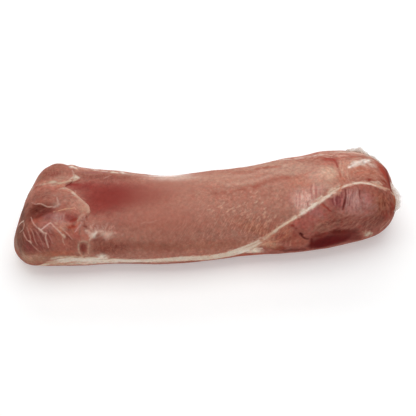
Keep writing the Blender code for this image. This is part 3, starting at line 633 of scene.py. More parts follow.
# Short fibres, hairs and flecks, strewn over a part of the photograph: sRGB, middle pixel, reach
# across and down in pixels, how many, their lean at the left and at the right in degrees, length
# in pixels, half width in millimetres, strength, height in millimetres
FIBRES = {
    "hairs over the fat": ((188, 136, 112), (266, 233), (26, 11), 90, (58, 66), 6, 0.63, 0.52, 0.1),
    "dark between them": ((132, 74, 60), (264, 233), (26, 11), 50, (58, 66), 6, 0.63, 0.46, -0.1),
    "hairs over the band": ((176, 122, 98), (215, 249), (46, 6), 80, (80, 66), 4, 0.56, 0.46, 0.1),
    "flecks": ((212, 170, 146), (240, 206), (44, 18), 60, (20, 60), 2.4, 0.75, 0.63, 0.1),
    "pale fibres": ((196, 148, 128), (240, 206), (50, 20), 90, (50, 62), 4, 0.63, 0.34, 0.1),
    "red fibres": ((150, 84, 70), (240, 210), (50, 20), 80, (50, 62), 4, 0.75, 0.34, 0.0),
    "middle fibres": ((186, 134, 116), (176, 226), (34, 12), 40, (40, 60), 4, 0.63, 0.29, 0.0),
    "upright hairs": ((216, 172, 160), (305, 199), (10, 9), 34, (88, 84), 6, 0.5, 0.57, 0.1),
    "red upright hairs": ((178, 112, 100), (308, 199), (12, 9), 26, (88, 84), 6, 0.5, 0.52, -0.1),
    "fibres right of the bulge": ((208, 156, 134), (345, 170), (7, 12), 44, (100, 100), 6, 0.6, 0.6, 0.1),
    "red right of the bulge": ((160, 86, 70), (345, 171), (8, 11), 36, (100, 84), 6, 0.6, 0.5, 0.0),
    "blade top's fibres": ((206, 150, 130), (366, 172), (15, 8), 50, (30, -20), 5, 0.63, 0.46, 0.1),
    "blade top's red": ((152, 70, 56), (368, 173), (15, 8), 50, (30, -20), 5, 0.63, 0.46, -0.1),
    "rim's red": ((128, 46, 36), (386, 174), (4, 12), 44, (-44, -60), 6, 0.7, 0.65, 0.0),
    "red through the purple": ((120, 58, 56), (352, 200), (9, 9), 30, (84, 96), 8, 0.56, 0.6, -0.2),
    "pale through the purple": ((190, 142, 134), (352, 199), (7, 8), 40, (84, 96), 6, 0.56, 0.6, 0.1),
    "white fibres": ((220, 196, 182), (365, 161), (6, 1.6), 20, (30, 20), 4, 0.75, 0.69, 0.1),
    "low white fibres": ((218, 192, 178), (354, 165), (4.5, 1.8), 20, (40, 30), 4, 0.7, 0.65, 0.1),
    "top edge fibres": ((212, 166, 150), (330, 155), (34, 3), 70, (10, -6), 8, 0.7, 0.7, 0.1),
    "top edge red": ((156, 76, 62), (330, 156), (34, 4), 60, (10, -6), 8, 0.7, 0.65, 0.0),
    "top fibres": ((206, 160, 142), (256, 170), (50, 6), 60, (8, 16), 6, 0.63, 0.34, 0.0),
    "grey film's fibres": ((214, 176, 162), (372, 165), (4, 2.4), 14, (-30, -30), 3, 0.63, 0.57, 0.1),
    "seam's pale hairs": ((210, 176, 158), (377, 183), (7, 2), 24, (150, 150), 4, 0.56, 0.69, 0.1),
    "purple's pale hairs": ((184, 138, 130), (353, 201), (8, 11), 70, (20, 160), 3, 0.5, 0.6, 0.0),
    "purple's dark hairs": ((112, 58, 56), (342, 198), (12, 9), 60, (80, 90), 4, 0.56, 0.52, 0.0),
    "right purple hairs": ((170, 122, 114), (370, 205), (9, 9), 50, (60, 30), 5, 0.56, 0.4, 0.0),
    "end's pale mottle": ((166, 106, 86), (385, 204), (8, 12), 80, (70, 120), 3, 0.75, 0.4, 0.0),
    "end's dark mottle": ((100, 44, 36), (386, 204), (8, 13), 80, (70, 120), 3, 0.75, 0.55, 0.0),
    "low blade hairs": ((164, 115, 98), (354, 222), (28, 8), 90, (10, 60), 6, 0.56, 0.4, 0.03),
    "low blade dark": ((92, 40, 35), (350, 223), (30, 8), 80, (10, 60), 6, 0.6, 0.45, -0.03),
    "swirl's hairs": ((164, 112, 94), (322, 226), (9, 7), 40, (60, -30), 4, 0.56, 0.46, 0.0),
    "orange by the seam": ((176, 110, 88), (281, 233), (14, 6), 30, (48, 40), 5, 0.63, 0.4, 0.0),
    "red by the seam": ((128, 62, 50), (290, 234), (18, 7), 40, (30, 20), 5, 0.63, 0.4, 0.0),
    "low pale hairs": ((178, 154, 134), (367.4, 233.4), (4.6, 2.6), 20, (60, 50), 4, 0.8, 0.5, 0.1),
    "upper rump's fibres": ((176, 122, 106), (56, 172), (16, 7), 40, (80, 100), 5, 0.63, 0.4, 0.0),
    "upper rump's red": ((136, 74, 66), (55, 172), (14, 5), 30, (80, 100), 4, 0.63, 0.34, 0.0),
    "hairs by the rump": ((172, 116, 104), (100, 178), (24, 5), 50, (90, 80), 4, 0.56, 0.4, 0.0),
    "dark by the rump": ((128, 66, 60), (98, 178), (22, 5), 36, (90, 80), 4, 0.56, 0.34, 0.0),
    "pale muscle's fibres": ((180, 128, 112), (52, 195), (18, 7), 40, (10, -20), 4, 0.63, 0.34, 0.0),
    "pale muscle's red": ((134, 78, 68), (47, 196), (18, 7), 40, (10, -20), 4, 0.63, 0.34, 0.0),
    "tongue's flecks": ((200, 150, 130), (78, 205), (8, 10), 36, (-50, -40), 3, 0.69, 0.46, 0.1),
    "recess's fibres": ((138, 84, 72), (36, 210), (11, 5), 30, (30, 10), 4, 0.63, 0.46, 0.0),
    # These dark strokes in the recess are partly painted shade.
    "recess's dark": ((84, 42, 36), (40, 209), (11, 4), 30, (20, 0), 4, 0.75, 0.52, -0.1),
    "low rump's strands": ((160, 104, 92), (38, 238), (16, 11), 30, (-62, -54), 12, 0.6, 0.4, 0.1),
    # These dark furrows between the strands are partly painted shade.
    "low rump's furrows": ((94, 46, 41), (38, 239), (18, 12), 40, (-62, -54), 10, 0.75, 0.4, -0.2),
    "right of the tendons": ((170, 106, 90), (64, 244), (12, 8), 40, (-60, -70), 5, 0.63, 0.34, 0.0),
    "orange by the tendons": ((190, 114, 88), (64, 230), (12, 5), 30, (-30, -50), 4, 0.63, 0.46, 0.0),
    "red by the tendons": ((126, 54, 48), (62, 230), (14, 6), 30, (-30, -50), 4, 0.63, 0.46, 0.0),
    "low edge's hairs": ((176, 136, 116), (34, 258), (14, 4), 40, (-20, 0), 4, 0.63, 0.46, 0.0),
    "low muscle's hairs": ((152, 98, 82), (110, 248), (18, 8), 60, (80, 90), 3, 0.63, 0.4, 0.0),
    "low muscle's dark": ((98, 50, 42), (110, 248), (18, 8), 60, (80, 90), 3, 0.75, 0.46, 0.0),
    "pale fibres at the back": (
        (204, 156, 138), (-50, 76, 56), (110, 20), 130, (22, 22), 9, 0.7, 0.42, 0.1),
    "red fibres at the back": ((138, 76, 64), (-50, 76, 56), (110, 22), 110, (22, 22), 9, 0.8, 0.42, 0.0),
    "pale fibres right of them": (
        (202, 150, 132), (130, 82, 48), (80, 22), 90, (14, 30), 9, 0.7, 0.42, 0.1),
    "red fibres right of them": ((134, 70, 60), (130, 82, 48), (80, 22), 90, (14, 30), 9, 0.8, 0.42, 0.0),
    "fibres at the back of the rump": (
        (190, 138, 120), (-200, 74, 44), (30, 26), 60, (70, 60), 8, 0.7, 0.42, 0.1),
    "film's hairs": ((202, 156, 140), (102, 229), (15, 5), 50, (100, 60), 3, 0.63, 0.52, 0.1),
}

# How much the fibres of one kind differ: lean in degrees, length and strength as shares of what the
# table gives, bend as a share of the length, and how much weaker they are at the rim of their place
FIBRE_SEED = 7
FIBRE_LEAN_SPREAD = 12
FIBRE_LENGTHS = (0.6, 1.3)
FIBRE_STRENGTHS = (0.4, 1.0)
FIBRE_BEND = 0.25
FIBRE_RIM_FADE = 0.6

# Orange lines, drawn last
ORANGE_LINES = {
    "orange line": ((212, 158, 128), 0.7, 0.8, 0.2, [
        (53.6, 212), (57, 211.5), (61, 210.3), (65, 209.3), (70, 209), (74.6, 208.5)]),
    "orange across the seam": ((190, 116, 92), 1.3, 0.8, 0.0, [
        (338.6, 190.4), (340.8, 187.6), (342.4, 185)]),
    "orange by the fat": ((190, 126, 96), 1.4, 0.35, 0.0, [(258, 244), (266, 238), (272, 232)]),
    "second by the fat": ((192, 130, 100), 1.4, 0.35, 0.0, [(270, 243), (280, 240), (288, 234)]),
}

# Where the grain of the meat is fainter, and where fibres and pale flecks show: pixel, reach along
# and across, lean, strength
SMOOTH_PLACES = {
    "airbrushed patch": ((132, 196), 52, 24, 0, 0.85),
    "its right": ((170, 186), 40, 20, 0, 0.7),
    "middle": ((165, 215), 54, 26, 0, 0.5),
    "top of the middle": ((220, 175), 50, 14, 8, 0.4),
}
HAIRY_PLACES = {
    "over the fat": ((250, 225), 52, 20, 20, 1.0),
    "middle": ((205, 232), 40, 18, 6, 0.8),
    "low muscle": ((110, 247), 24, 10, 0, 0.7),
    "pink patch": ((306, 200), 14, 16, 0, 0.8),
    "near the rump": ((100, 175), 26, 7, 0, 0.7),
}
FLECKED_PLACES = {
    "eye": ((245, 206), 48, 20, 8, 1.0),
    "left of it": ((205, 205), 24, 16, 0, 0.7),
}

# The rump's edge laps over the eye muscle here: pixel, reach along and across, lean, strength
LAP = ((78, 196), 24, 34, 0, 1.0)

# Coloured edges where two pieces meet: sRGB, pixel, raggedness, width and fade in millimetres,
# strength
EDGES = {
    "stained fat": ((170, 112, 95), (225, 255), 1.3, 0.5, 0.9, 0.8),
    "fringe of fat": ((196, 160, 142), (225, 252), 1.6, 0.3, 0.9, 0.4),
    "rim of the lap": ((196, 154, 136), (84, 204), 1.2, 1.2, 1.4, 0.5),
    "shade of the lap": ((130, 58, 50), (92, 204), 1.0, 0.8, 2.0, 0.5),
}

# The lap's edge stands up on the rump and the eye muscle dips beside it: height, reach, in millimetres
LAP_RISE = (1.0, 4)
LAP_DIP = (-0.6, 3)
FAT_SINK = 0.15

# Random unevenness, in layers: strength, size of a hill in millimetres, where in the noise it starts
RED_MOTTLE = ((1.0, 5, 51.0), (0.7, 2.4, 55.0))
GREY_MOTTLE = ((0.10, 9, 61.0), (0.14, 3.2, 71.0))
RAGGED_EDGE = ((0.9, 2.2, 91.0), (0.9, 6, 95.0))
UNEVEN_HEIGHT = ((0.35, 17, 3.1), (0.16, 6, 8.4))
LINE_FADING = ((1.2, 5.5, 81.0),)
LINE_ROUGHNESS = ((0.4, 3.0, 85.0),)
LINE_FULLNESS = 0.95
REDNESS = 0.12

# How far patches and lines stray from their places: the size of a bend, and its reach
PATCH_WANDER = (9 * MM, 2 * MM)
LINE_WANDER = (5 * MM, 0.5 * MM)
WANDER_STARTS = (11.3, 23.7, 37.1)

# How strongly each skin is mottled
MOTTLES = {"rump_muscle": 1.3, "eye_muscle": 1.0, "blade_muscle": 1.6, "fat_layer": 0.7}

# Torn membrane round the blade end: the pixels of its root, and its width in millimetres
TATTERS = {
    "right_tatter": ([
        (392, 181), (392.8, 185), (393.6, 189), (394.6, 193),
        (395.4, 198), (395.4, 203), (394.6, 208), (393.6, 212)], 9.5),
    "top_tatter": ([(346, 150.6), (352, 151), (358, 151.6), (364, 153.2), (369, 155.4)], 10.0),
    "small_tatter": ([(366, 154), (371, 157), (376, 160), (381, 164)], 5.0),
}
TATTER_STEP = 0.35
TATTER_ROWS = 6
TATTER_ROOT = 0.5 * MM
TATTER_THICKNESS = 0.35 * MM

# A tatter's torn edge: its mean share of the width, its rags as strength and size in millimetres,
# how far and how closely it crumples, and how much it droops
TATTER_FULLNESS = 0.8
TATTER_RAGS = ((0.25, 4), (0.35, 9))
TATTER_NARROWEST = 0.1
TATTER_CRUMPLE = 1.4 * MM
TATTER_CRUMPLE_SIZE = 4 * MM
TATTER_DROOP = 0.3
TATTER_FADE = 0.7

# Soft boxes of the studio: place, width, depth and watts. They face the middle of the loin.
LIGHT_AIM = (0.0, 0.0, 0.04)
SOFTBOXES = {
    "top_softbox": ((0.0, 0.15, 1.35), 1.8, 1.2, 12.0),
    "back_softbox": ((0.0, 1.1, 0.8), 1.4, 0.5, 5.0),
    "front_softbox": ((-0.3, -1.2, 1.0), 1.0, 0.8, 2.5),
}
WHITE = (1.0, 1.0, 1.0, 1.0)
WORLD_STRENGTH = 0.4
FLOOR_COLOUR = (0.75, 0.75, 0.75, 1.0)
FLOOR_GLOW = 0.3
FLOOR_HALF_SIZE = 6.0
FLOOR_LEVEL = -0.2 * MM


def linear(colour):
    """Scene values of an sRGB colour."""
    shares = np.array(colour) / 255
    return np.where(shares > 0.04045, ((shares + 0.055) / 1.055) ** 2.4, shares / 12.92)


def ease(t):
    """A smooth step from 0 to 1 as t goes from 0 to 1."""
    t = np.clip(t, 0.0, 1.0)
    return t * t * (3 - 2 * t)


def points_of(mesh):
    flat = np.empty(len(mesh.vertices) * 3, np.float32)
    mesh.vertices.foreach_get("co", flat)
    return flat.reshape(-1, 3).astype(float)


def normals_of(mesh):
    flat = np.empty(len(mesh.vertices) * 3, np.float32)
    mesh.vertices.foreach_get("normal", flat)
    return flat.reshape(-1, 3).astype(float)


def put_points(mesh, points):
    mesh.vertices.foreach_set("co", points.astype(np.float32).ravel())
    mesh.update()


def modified(mesh, kind, settings, weights=None):
    """A new mesh, made by one modifier. The weights say how much of it each vertex gets."""
    holder = bpy.data.objects.new(mesh.name, mesh)
    bpy.context.scene.collection.objects.link(holder)
    modifier = holder.modifiers.new(kind.lower(), kind)
    for name, value in settings.items():
        setattr(modifier, name, value)
    if weights is not None:
        group = holder.vertex_groups.new(name="weights")
        group.add(np.flatnonzero(weights).tolist(), 1.0, "REPLACE")
        modifier.vertex_group = group.name
    made = bpy.data.meshes.new_from_object(holder.evaluated_get(bpy.context.evaluated_depsgraph_get()))
    bpy.data.objects.remove(holder)
    bpy.data.meshes.remove(mesh)
    return made


def remeshed(form, cell, name):
    """The closed surface of a form, redone in even squares of one size."""
    rough = bpy.data.meshes.new(name)
    form.to_mesh(rough)
    form.free()
    return modified(rough, "REMESH", {"mode": "VOXEL", "voxel_size": cell})


def solid_form(*nodes):
    """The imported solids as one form, their triangles joined up."""
    form = bmesh.new()
    for node in nodes:
        form.from_mesh(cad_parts[node].data)
    bmesh.ops.remove_doubles(form, verts=form.verts, dist=WELD)
    return form


def relaxed(mesh, points, rounds, share=None):
    """The points drawn towards their neighbours and back, which smooths without shrinking."""
    ends = np.empty(len(mesh.edges) * 2, np.int32)
    mesh.edges.foreach_get("vertices", ends)
    one, other = ends.reshape(-1, 2).T
    count = np.bincount(one, minlength=len(points)) + np.bincount(other, minlength=len(points))
    for turn in range(2 * rounds):
        total = np.zeros_like(points)
        for axis in range(3):
            total[:, axis] = np.bincount(one, points[other, axis], len(points))
            total[:, axis] += np.bincount(other, points[one, axis], len(points))
        pull = total / count[:, None] - points
        step = SMOOTH_IN if turn % 2 == 0 else SMOOTH_OUT
        points = points + step * (pull if share is None else pull * share[:, None])
    return points


def search_tree(mesh):
    faces = [tuple(face.vertices) for face in mesh.polygons]
    return BVHTree.FromPolygons([tuple(p) for p in points_of(mesh)], faces)


def make_outside():
    """One smooth outside that the four skins share, as a tree to search."""
    mesh = remeshed(solid_form(*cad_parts), OUTSIDE_CELL, "outside")
    put_points(mesh, relaxed(mesh, points_of(mesh), OUTSIDE_ROUNDS))
    tree = search_tree(mesh)
    bpy.data.meshes.remove(mesh)
    return tree


OUTSIDE = make_outside()
SOLIDS = {name: search_tree(node.data) for name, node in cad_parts.items()}


def seen_at(px, py):
    """The point and normal of the outside that the photograph shows at a pixel.

    A pixel just off the loin's edge moves towards its middle until it is on the loin.
    """
    focus = LENS_MM / FILM_MM * PHOTO_PIXELS
    middle_row = MIDDLE_ROW - MIDDLE_RISE * (px - PHOTO_PIXELS / 2)
    for _ in range(MOST_STEPS):
        ray = FORWARD * focus + UPWARD * (PHOTO_PIXELS / 2 - py)
        ray.x += px - PHOTO_PIXELS / 2
        point, normal, _, _ = OUTSIDE.ray_cast(EYE_POINT, ray.normalized())
        if point is not None:
            return np.array(point), np.array(normal)
        py += ROW_STEP if py < middle_row else -ROW_STEP
        px += COLUMN_STEP if px < PHOTO_PIXELS / 2 else -COLUMN_STEP
    raise ValueError(f"no loin near pixel {px}, {py}")


def spot_at(spot):
    """The point and normal of the outside at a spot: a pixel, or the nearest to a place in millimetres."""
    if len(spot) == 2:
        return seen_at(*spot)
    point, normal, _, _ = OUTSIDE.find_nearest(Vector(spot) * MM)
    return np.array(point), np.array(normal)


def own_colour(seen, spot):
    """The meat's own colour where the photograph shows a colour at a spot.

    The studio's light and the shine it adds there depend on how far the surface faces up.
    """
    _, normal = spot_at(spot)
    up = max(normal[2], 0.0)
    light = SIDE_LIGHT + TOP_LIGHT * up**3
    shine = SIDE_SHINE + TOP_SHINE * up**2
    return np.maximum((linear(seen) - shine) / light, DARKEST)


def smooth_route(spots, step=1.2):
    """Spots along a smooth curve through the given ones."""
    knots = np.array([spots[0], *spots, spots[-1]], float)
    route = []
    for before, start, end, after in zip(knots, knots[1:], knots[2:], knots[3:]):
        parts = max(1, int(np.linalg.norm(end - start) / step))
        for t in np.arange(parts) / parts:
            bend = 2 * before - 5 * start + 4 * end - after
            twist = 3 * start - before - 3 * end + after
            route.append(start + 0.5 * t * (end - before + t * (bend + t * twist)))
    route.append(knots[-1])
    return route


def laid(lines):
    """Lines ready to be drawn: own colour, half width, strength, height and route in metres."""
    ready = []
    for tint, half_width, strength, lift, spots in lines:
        route = np.array([spot_at(spot)[0] for spot in smooth_route(spots)])
        own = own_colour(tint, spots[len(spots) // 2])
        ready.append((own, half_width * MM, strength, lift, route))
    return ready


def stroke_nearness(points, half_width, line):
    """The points near a stroke, and how far from it they lie, in half widths.

    The stroke thins towards its ends. The points come in order of x.
    """
    share = (np.arange(len(line) - 1) + 0.5) / (len(line) - 1)
    widths = half_width * (TIP_WIDTH + (1 - TIP_WIDTH) * np.sin(math.pi * share) ** 0.5)
    reach = FAR * half_width
    first, last = np.searchsorted(points[:, 0], (line[:, 0].min() - reach, line[:, 0].max() + reach))
    slab = points[first:last]
    inside = np.all((slab > line.min(0) - reach) & (slab < line.max(0) + reach), axis=1)
    near = first + np.flatnonzero(inside)
    close = points[near]
    best = np.full(len(close), FAR)
    for start, end, width in zip(line, line[1:], widths):
        run = end - start
        along = np.clip((close - start) @ run / max(run @ run, 1e-12), 0, 1)
        gap = np.linalg.norm(close - start - along[:, None] * run, axis=1) / width
        best = np.minimum(best, gap)
    return near, best


def patch_share(points, spot, along, across, lean, strength, firmness=1.4):
    """How strongly a patch works at each point, from 0 to its strength. A firm one has a clear edge."""
    centre, normal = spot_at(spot)
    side = np.cross(normal, (1.0, 0.0, 0.0))
    side /= np.linalg.norm(side)
    level = np.cross(side, normal)
    turn = math.radians(lean)
    first = math.cos(turn) * level - math.sin(turn) * side
    second = math.sin(turn) * level + math.cos(turn) * side
    offset = points - centre
    spread = (offset @ first / (along * MM)) ** 2 + (offset @ second / (across * MM)) ** 2
    depth = offset @ normal / (PATCH_DEPTH * max(along, across) * MM)
    return strength * np.exp(-(spread**firmness) - depth**2)


def places_share(points, places):
    """The strongest of several soft patches at each point."""
    return np.max([patch_share(points, *place) for place in places.values()], axis=0)


def lumps(points, size, shift):
    """Smooth random heights between -1 and 1, about one hill in each size."""
    scaled = (points / size + shift).tolist()
    return np.array([noise.noise(place) for place in scaled])


def layered(points, layers):
    """Smooth random heights of several sizes, added up."""
    return sum(strength * lumps(points, size * MM, start) for strength, size, start in layers)


def wobbled(points, size, reach):
    """The points moved about at random by up to the reach, neighbours together."""
    shifts = [lumps(points, size, start) for start in WANDER_STARTS]
    return points + reach * np.stack(shifts, axis=1)


def nearness(points, *nodes):
    """Distance in millimetres from each point to the nearest of some solids, up to a limit."""
    result = np.full(len(points), MEETING_REACH / MM)
    for node in nodes:
        tree = SOLIDS[node]
        found = [tree.find_nearest(point, MEETING_REACH)[3] for point in points.tolist()]
        gaps = np.array([MEETING_REACH if gap is None else gap for gap in found])
        result = np.minimum(result, gaps / MM)
    return result


def set_share(mesh, name, values):
    mesh.attributes.new(name, "FLOAT", "POINT").data.foreach_set("value", values.astype(np.float32))


def set_colour(mesh, name, colours):
    flat = np.ones((len(colours), 4), np.float32)
    flat[:, :3] = colours
    mesh.attributes.new(name, "FLOAT_COLOR", "POINT").data.foreach_set("color", flat.ravel())


def placed(name, mesh):
    """A piece that moves with the loin."""
    piece = bpy.data.objects.new(name, mesh)
    bpy.context.scene.collection.objects.link(piece)
    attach(piece, "root")
    return piece


def nearest_outside(points):
    """For each point the nearest place of the shared outside, and the way that place faces."""
    found = [OUTSIDE.find_nearest(point)[:2] for point in points.tolist()]
    place = np.array([tuple(spot) for spot, _ in found])
    facing = np.array([tuple(normal) for _, normal in found])
    return place, facing


def thinned(mesh, chosen, kept):
    """A mesh with only some of the faces kept at the chosen points."""
    settings = {"ratio": 1 - (1 - kept) * chosen.mean(), "vertex_group_factor": 100.0}
    return modified(mesh, "DECIMATE", settings, chosen)


def fine_skin(node):
    """A solid's surface in even squares, with few faces on the walls inside the loin and fewer below."""
    mesh = remeshed(solid_form(node), SKIN_CELLS[node], node + "_skin")
    points = points_of(mesh)
    place, _ = nearest_outside(points)
    mesh = thinned(mesh, np.linalg.norm(place - points, axis=1) > HIDDEN_DEPTH, HIDDEN_KEPT)
    under = (points_of(mesh)[:, 2] < UNDERSIDE_TOP) & (normals_of(mesh)[:, 2] < FACING_DOWN)
    if under.any():
        mesh = thinned(mesh, under, UNDERSIDE_KEPT)
    mesh.name = node + "_skin"
    return mesh


def skin_points(mesh):
    """Sets a skin on the shared outside and swells its walls and edges, so that they overlap.

    Gives its points, the way the outside faces there, how surely each point is skin, and how near
    it lies to the outside.
    """
    points = points_of(mesh)
    normals = normals_of(mesh)
    place, facing = nearest_outside(points)
    gap = np.linalg.norm(place - points, axis=1)
    along = np.sum(facing * normals, axis=1)
    sure = ease((SKIN_GAP - gap) / SKIN_GAP_FADE)
    sure = sure * ease((along - SKIN_FACING) / SKIN_FACING_FADE)
    sideways = normals - along[:, None] * facing
    points = points + (place - points) * sure[:, None] + WALL_SWELL * sideways
    points = relaxed(mesh, points, SKIN_ROUNDS, sure)
    return points, facing, sure, 1 - ease(gap / SHAPED_DEPTH)


def mix_in(colour, tint, share):
    return colour * (1 - share[:, None]) + tint * share[:, None]


def painted(points, node):
    """The soft colours of a skin, mottled."""
    colour = np.tile(own_colour(*BASES[node]), (len(points), 1))
    strayed = wobbled(points, *PATCH_WANDER)
    for tint, spot, *shape in PATCHES[node].values():
        colour = mix_in(colour, own_colour(tint, spot), patch_share(strayed, spot, *shape))
    mottle = MOTTLES[node] * (1 - places_share(points, SMOOTH_PLACES))
    colour = colour * (1 + layered(points, GREY_MOTTLE) * mottle)[:, None]
    colour[:, 1:] *= (1 - REDNESS * layered(points, RED_MOTTLE) * mottle)[:, None]
    return colour


def with_lines(points, colour, height, lines, sharpness, broken):
    """Draws lines into the colours and heights. Sharp ones have firm edges, broken ones fade in places."""
    patchy = np.ones(len(points))
    rough = np.ones(len(points))
    if broken:
        patchy = ease(LINE_FULLNESS + layered(points, LINE_FADING))
        rough = 1 + layered(points, LINE_ROUGHNESS)
    for own, half_width, strength, lift, route in lines:
        near, gap = stroke_nearness(points, half_width, route)
        shape = np.exp(-STROKE_FALL * (gap * rough[near]) ** sharpness)
        colour[near] = mix_in(colour[near], own, strength * shape * patchy[near])
        height[near] += lift * shape
    return colour, height


def strewn(places):
    """The lines of all the short fibres, each a stroke of three spots with its own slight bend.

    Those of the back lie round a place in millimetres, so their x and z take the pixels' part.
    """
    chance = random.Random(FIBRE_SEED)
    for tint, middle, reach, count, leans, length, half_width, strength, lift in places.values():
        for _ in range(count):
            across = chance.uniform(-1, 1)
            down = chance.uniform(-1, 1)
            lean = leans[0] + (leans[1] - leans[0]) * (across + 1) / 2
            lean += chance.gauss(0, FIBRE_LEAN_SPREAD)
            half = 0.5 * length * chance.uniform(*FIBRE_LENGTHS)
            run = np.array((math.cos(math.radians(lean)), -math.sin(math.radians(lean)))) * half
            bend = np.array((run[1], -run[0])) * chance.uniform(-FIBRE_BEND, FIBRE_BEND)
            away = np.array((across * reach[0], down * reach[1]))
            if len(middle) == 3:
                run, bend, away = (np.array((step[0], 0.0, -step[1])) for step in (run, bend, away))
            spot = np.array(middle) + away
            rim = max(abs(across), abs(down)) ** 3
            faded = strength * chance.uniform(*FIBRE_STRENGTHS) * (1 - FIBRE_RIM_FADE * rim)
            yield tint, half_width, faded, lift, [spot - run, spot + bend, spot + run]


def with_edge(colour, name, gap, rag, lap=1.0):
    """Colours the points that lie near another piece, along a ragged line."""
    tint, spot, raggedness, width, fade, strength = EDGES[name]
    near = 1 - ease((gap + raggedness * rag - width) / fade)
    return mix_in(colour, own_colour(tint, spot), strength * (near * lap))


def lap_height(gap, lap, rise, reach):
    """How far the lap raises or lowers the points near another piece, in millimetres."""
    return rise * lap * np.exp(-((gap / reach) ** 2))


def fringed(node, points, colour, height):
    """The edges where two pieces meet."""
    rag = layered(points, RAGGED_EDGE)
    if node == "fat_layer":
        meat = nearness(points, "eye_muscle", "rump_muscle", "blade_muscle")
        return with_edge(colour, "stained fat", meat, rag), height - FAT_SINK
    colour = with_edge(colour, "fringe of fat", nearness(points, "fat_layer"), rag)
    lap = patch_share(points, *LAP)
    if node == "rump_muscle":
        gap = nearness(points, "eye_muscle")
        colour = with_edge(colour, "rim of the lap", gap, rag, lap)
        height = height + lap_height(gap, lap, *LAP_RISE)
    if node == "eye_muscle":
        gap = nearness(points, "rump_muscle")
        colour = with_edge(colour, "shade of the lap", gap, rag, lap)
        height = height + lap_height(gap, lap, *LAP_DIP)
    return colour, height


# What is drawn on the meat and on the fat, with how firm its edges are, and whether it fades in places
FAT_LINES = [(laid(SINEWS.values()), 2.2, True), (laid(ORANGE_LINES.values()), 2.2, True)]
MEAT_LINES = [
    (laid(STREAKS.values()), 2, True),
    (laid(strewn(FIBRES)), 2.5, False),
    (laid(CREASES.values()), 2.5, False),
    (laid(TENDONS.values()), 2.2, False),
    *FAT_LINES,
]


def form_height(points):
    """How far the forms raise the surface at each point, in millimetres."""
    return np.sum([patch_share(points, *shape, lift) for lift, *shape in FORMS.values()], axis=0)


def make_skin(node, material):
    """A fine skin for one solid, set on the shared outside, with its forms and its colours."""
    mesh = fine_skin(node)
    points, facing, sure, shallow = skin_points(mesh)
    colour = painted(points, node)
    form = form_height(points)
    colour, height = fringed(node, points, colour, layered(points, UNEVEN_HEIGHT))
    strayed = wobbled(points, *LINE_WANDER)
    order = np.argsort(strayed[:, 0])
    strayed, colour, height = strayed[order], colour[order], height[order]
    for lines, sharpness, broken in FAT_LINES if node == "fat_layer" else MEAT_LINES:
        colour, height = with_lines(strayed, colour, height, lines, sharpness, broken)
    back = np.argsort(order)
    colour, height = colour[back], height[back]
    points = points + facing * ((height * sure + form * shallow) * MM)[:, None]
    points[:, 2] = np.maximum(points[:, 2], 0.0)
    put_points(mesh, points)
    set_colour(mesh, "flesh", np.clip(colour, *COLOUR_LIMITS))
    set_share(mesh, "calm", places_share(points, SMOOTH_PLACES))
    set_share(mesh, "hairs", places_share(points, HAIRY_PLACES))
    set_share(mesh, "flecks", places_share(points, FLECKED_PLACES))
    mesh.shade_smooth()
    mesh.materials.clear()
    mesh.materials.append(material)
    skin = placed(node + "_skin", mesh)
    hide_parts(node)


def make_tatter(name, spots, width, material):
    """A strip of thin torn membrane that stands off the edge of the meat."""
    route = [spot_at(spot) for spot in smooth_route(spots, TATTER_STEP)]
    raised = form_height(np.array([place for place, _ in route])) * MM
    form = bmesh.new()
    bmesh.ops.create_grid(form, x_segments=len(route) - 1, y_segments=TATTER_ROWS, size=1.0)
    cover = []
    for vert in form.verts:
        index = round((vert.co.x + 1) / 2 * (len(route) - 1))
        out = (vert.co.y + 1) / 2
        root, facing = (Vector(part) for part in route[index])
        rags = (strength * noise.noise(root / (size * MM)) for strength, size in TATTER_RAGS)
        ragged = max(sum(rags, TATTER_FULLNESS), TATTER_NARROWEST)
        swell = max(math.sin(math.pi * index / (len(route) - 1)), 0.0) ** 0.5
        reach = width * MM * ragged * swell
        creased = noise.noise(root / TATTER_CRUMPLE_SIZE + Vector((out, 5.0, 0.0)))
        vert.co = root + facing * (raised[index] + reach * out - TATTER_ROOT)
        vert.co += FORWARD * (TATTER_CRUMPLE * creased) * out
        vert.co.z -= TATTER_DROOP * reach * out**2
        cover.append((1 - out) ** TATTER_FADE)
    mesh = bpy.data.meshes.new(name)
    form.to_mesh(mesh)
    form.free()
    set_share(mesh, "cover", np.array(cover))
    mesh = modified(mesh, "SOLIDIFY", {"thickness": TATTER_THICKNESS, "offset": 0.0})
    mesh.shade_smooth()
    mesh.materials.clear()
    mesh.materials.append(material)
    placed(name, mesh)


class Tone:
    """A value that varies over a surface. Sums and products of tones add the Math nodes for them."""

    def __init__(self, finish, socket):
        self.finish = finish
        self.socket = socket

    def joined(self, operation, first, second):
        return self.finish.node("ShaderNodeMath", {"operation": operation}, {0: first, 1: second})

    def __add__(self, other):
        return self.joined("ADD", self, other)

    def __radd__(self, other):
        return self.joined("ADD", other, self)

    def __sub__(self, other):
        return self.joined("SUBTRACT", self, other)

    def __rsub__(self, other):
        return self.joined("SUBTRACT", other, self)

    def __mul__(self, other):
        return self.joined("MULTIPLY", self, other)

    def __rmul__(self, other):
        return self.joined("MULTIPLY", other, self)


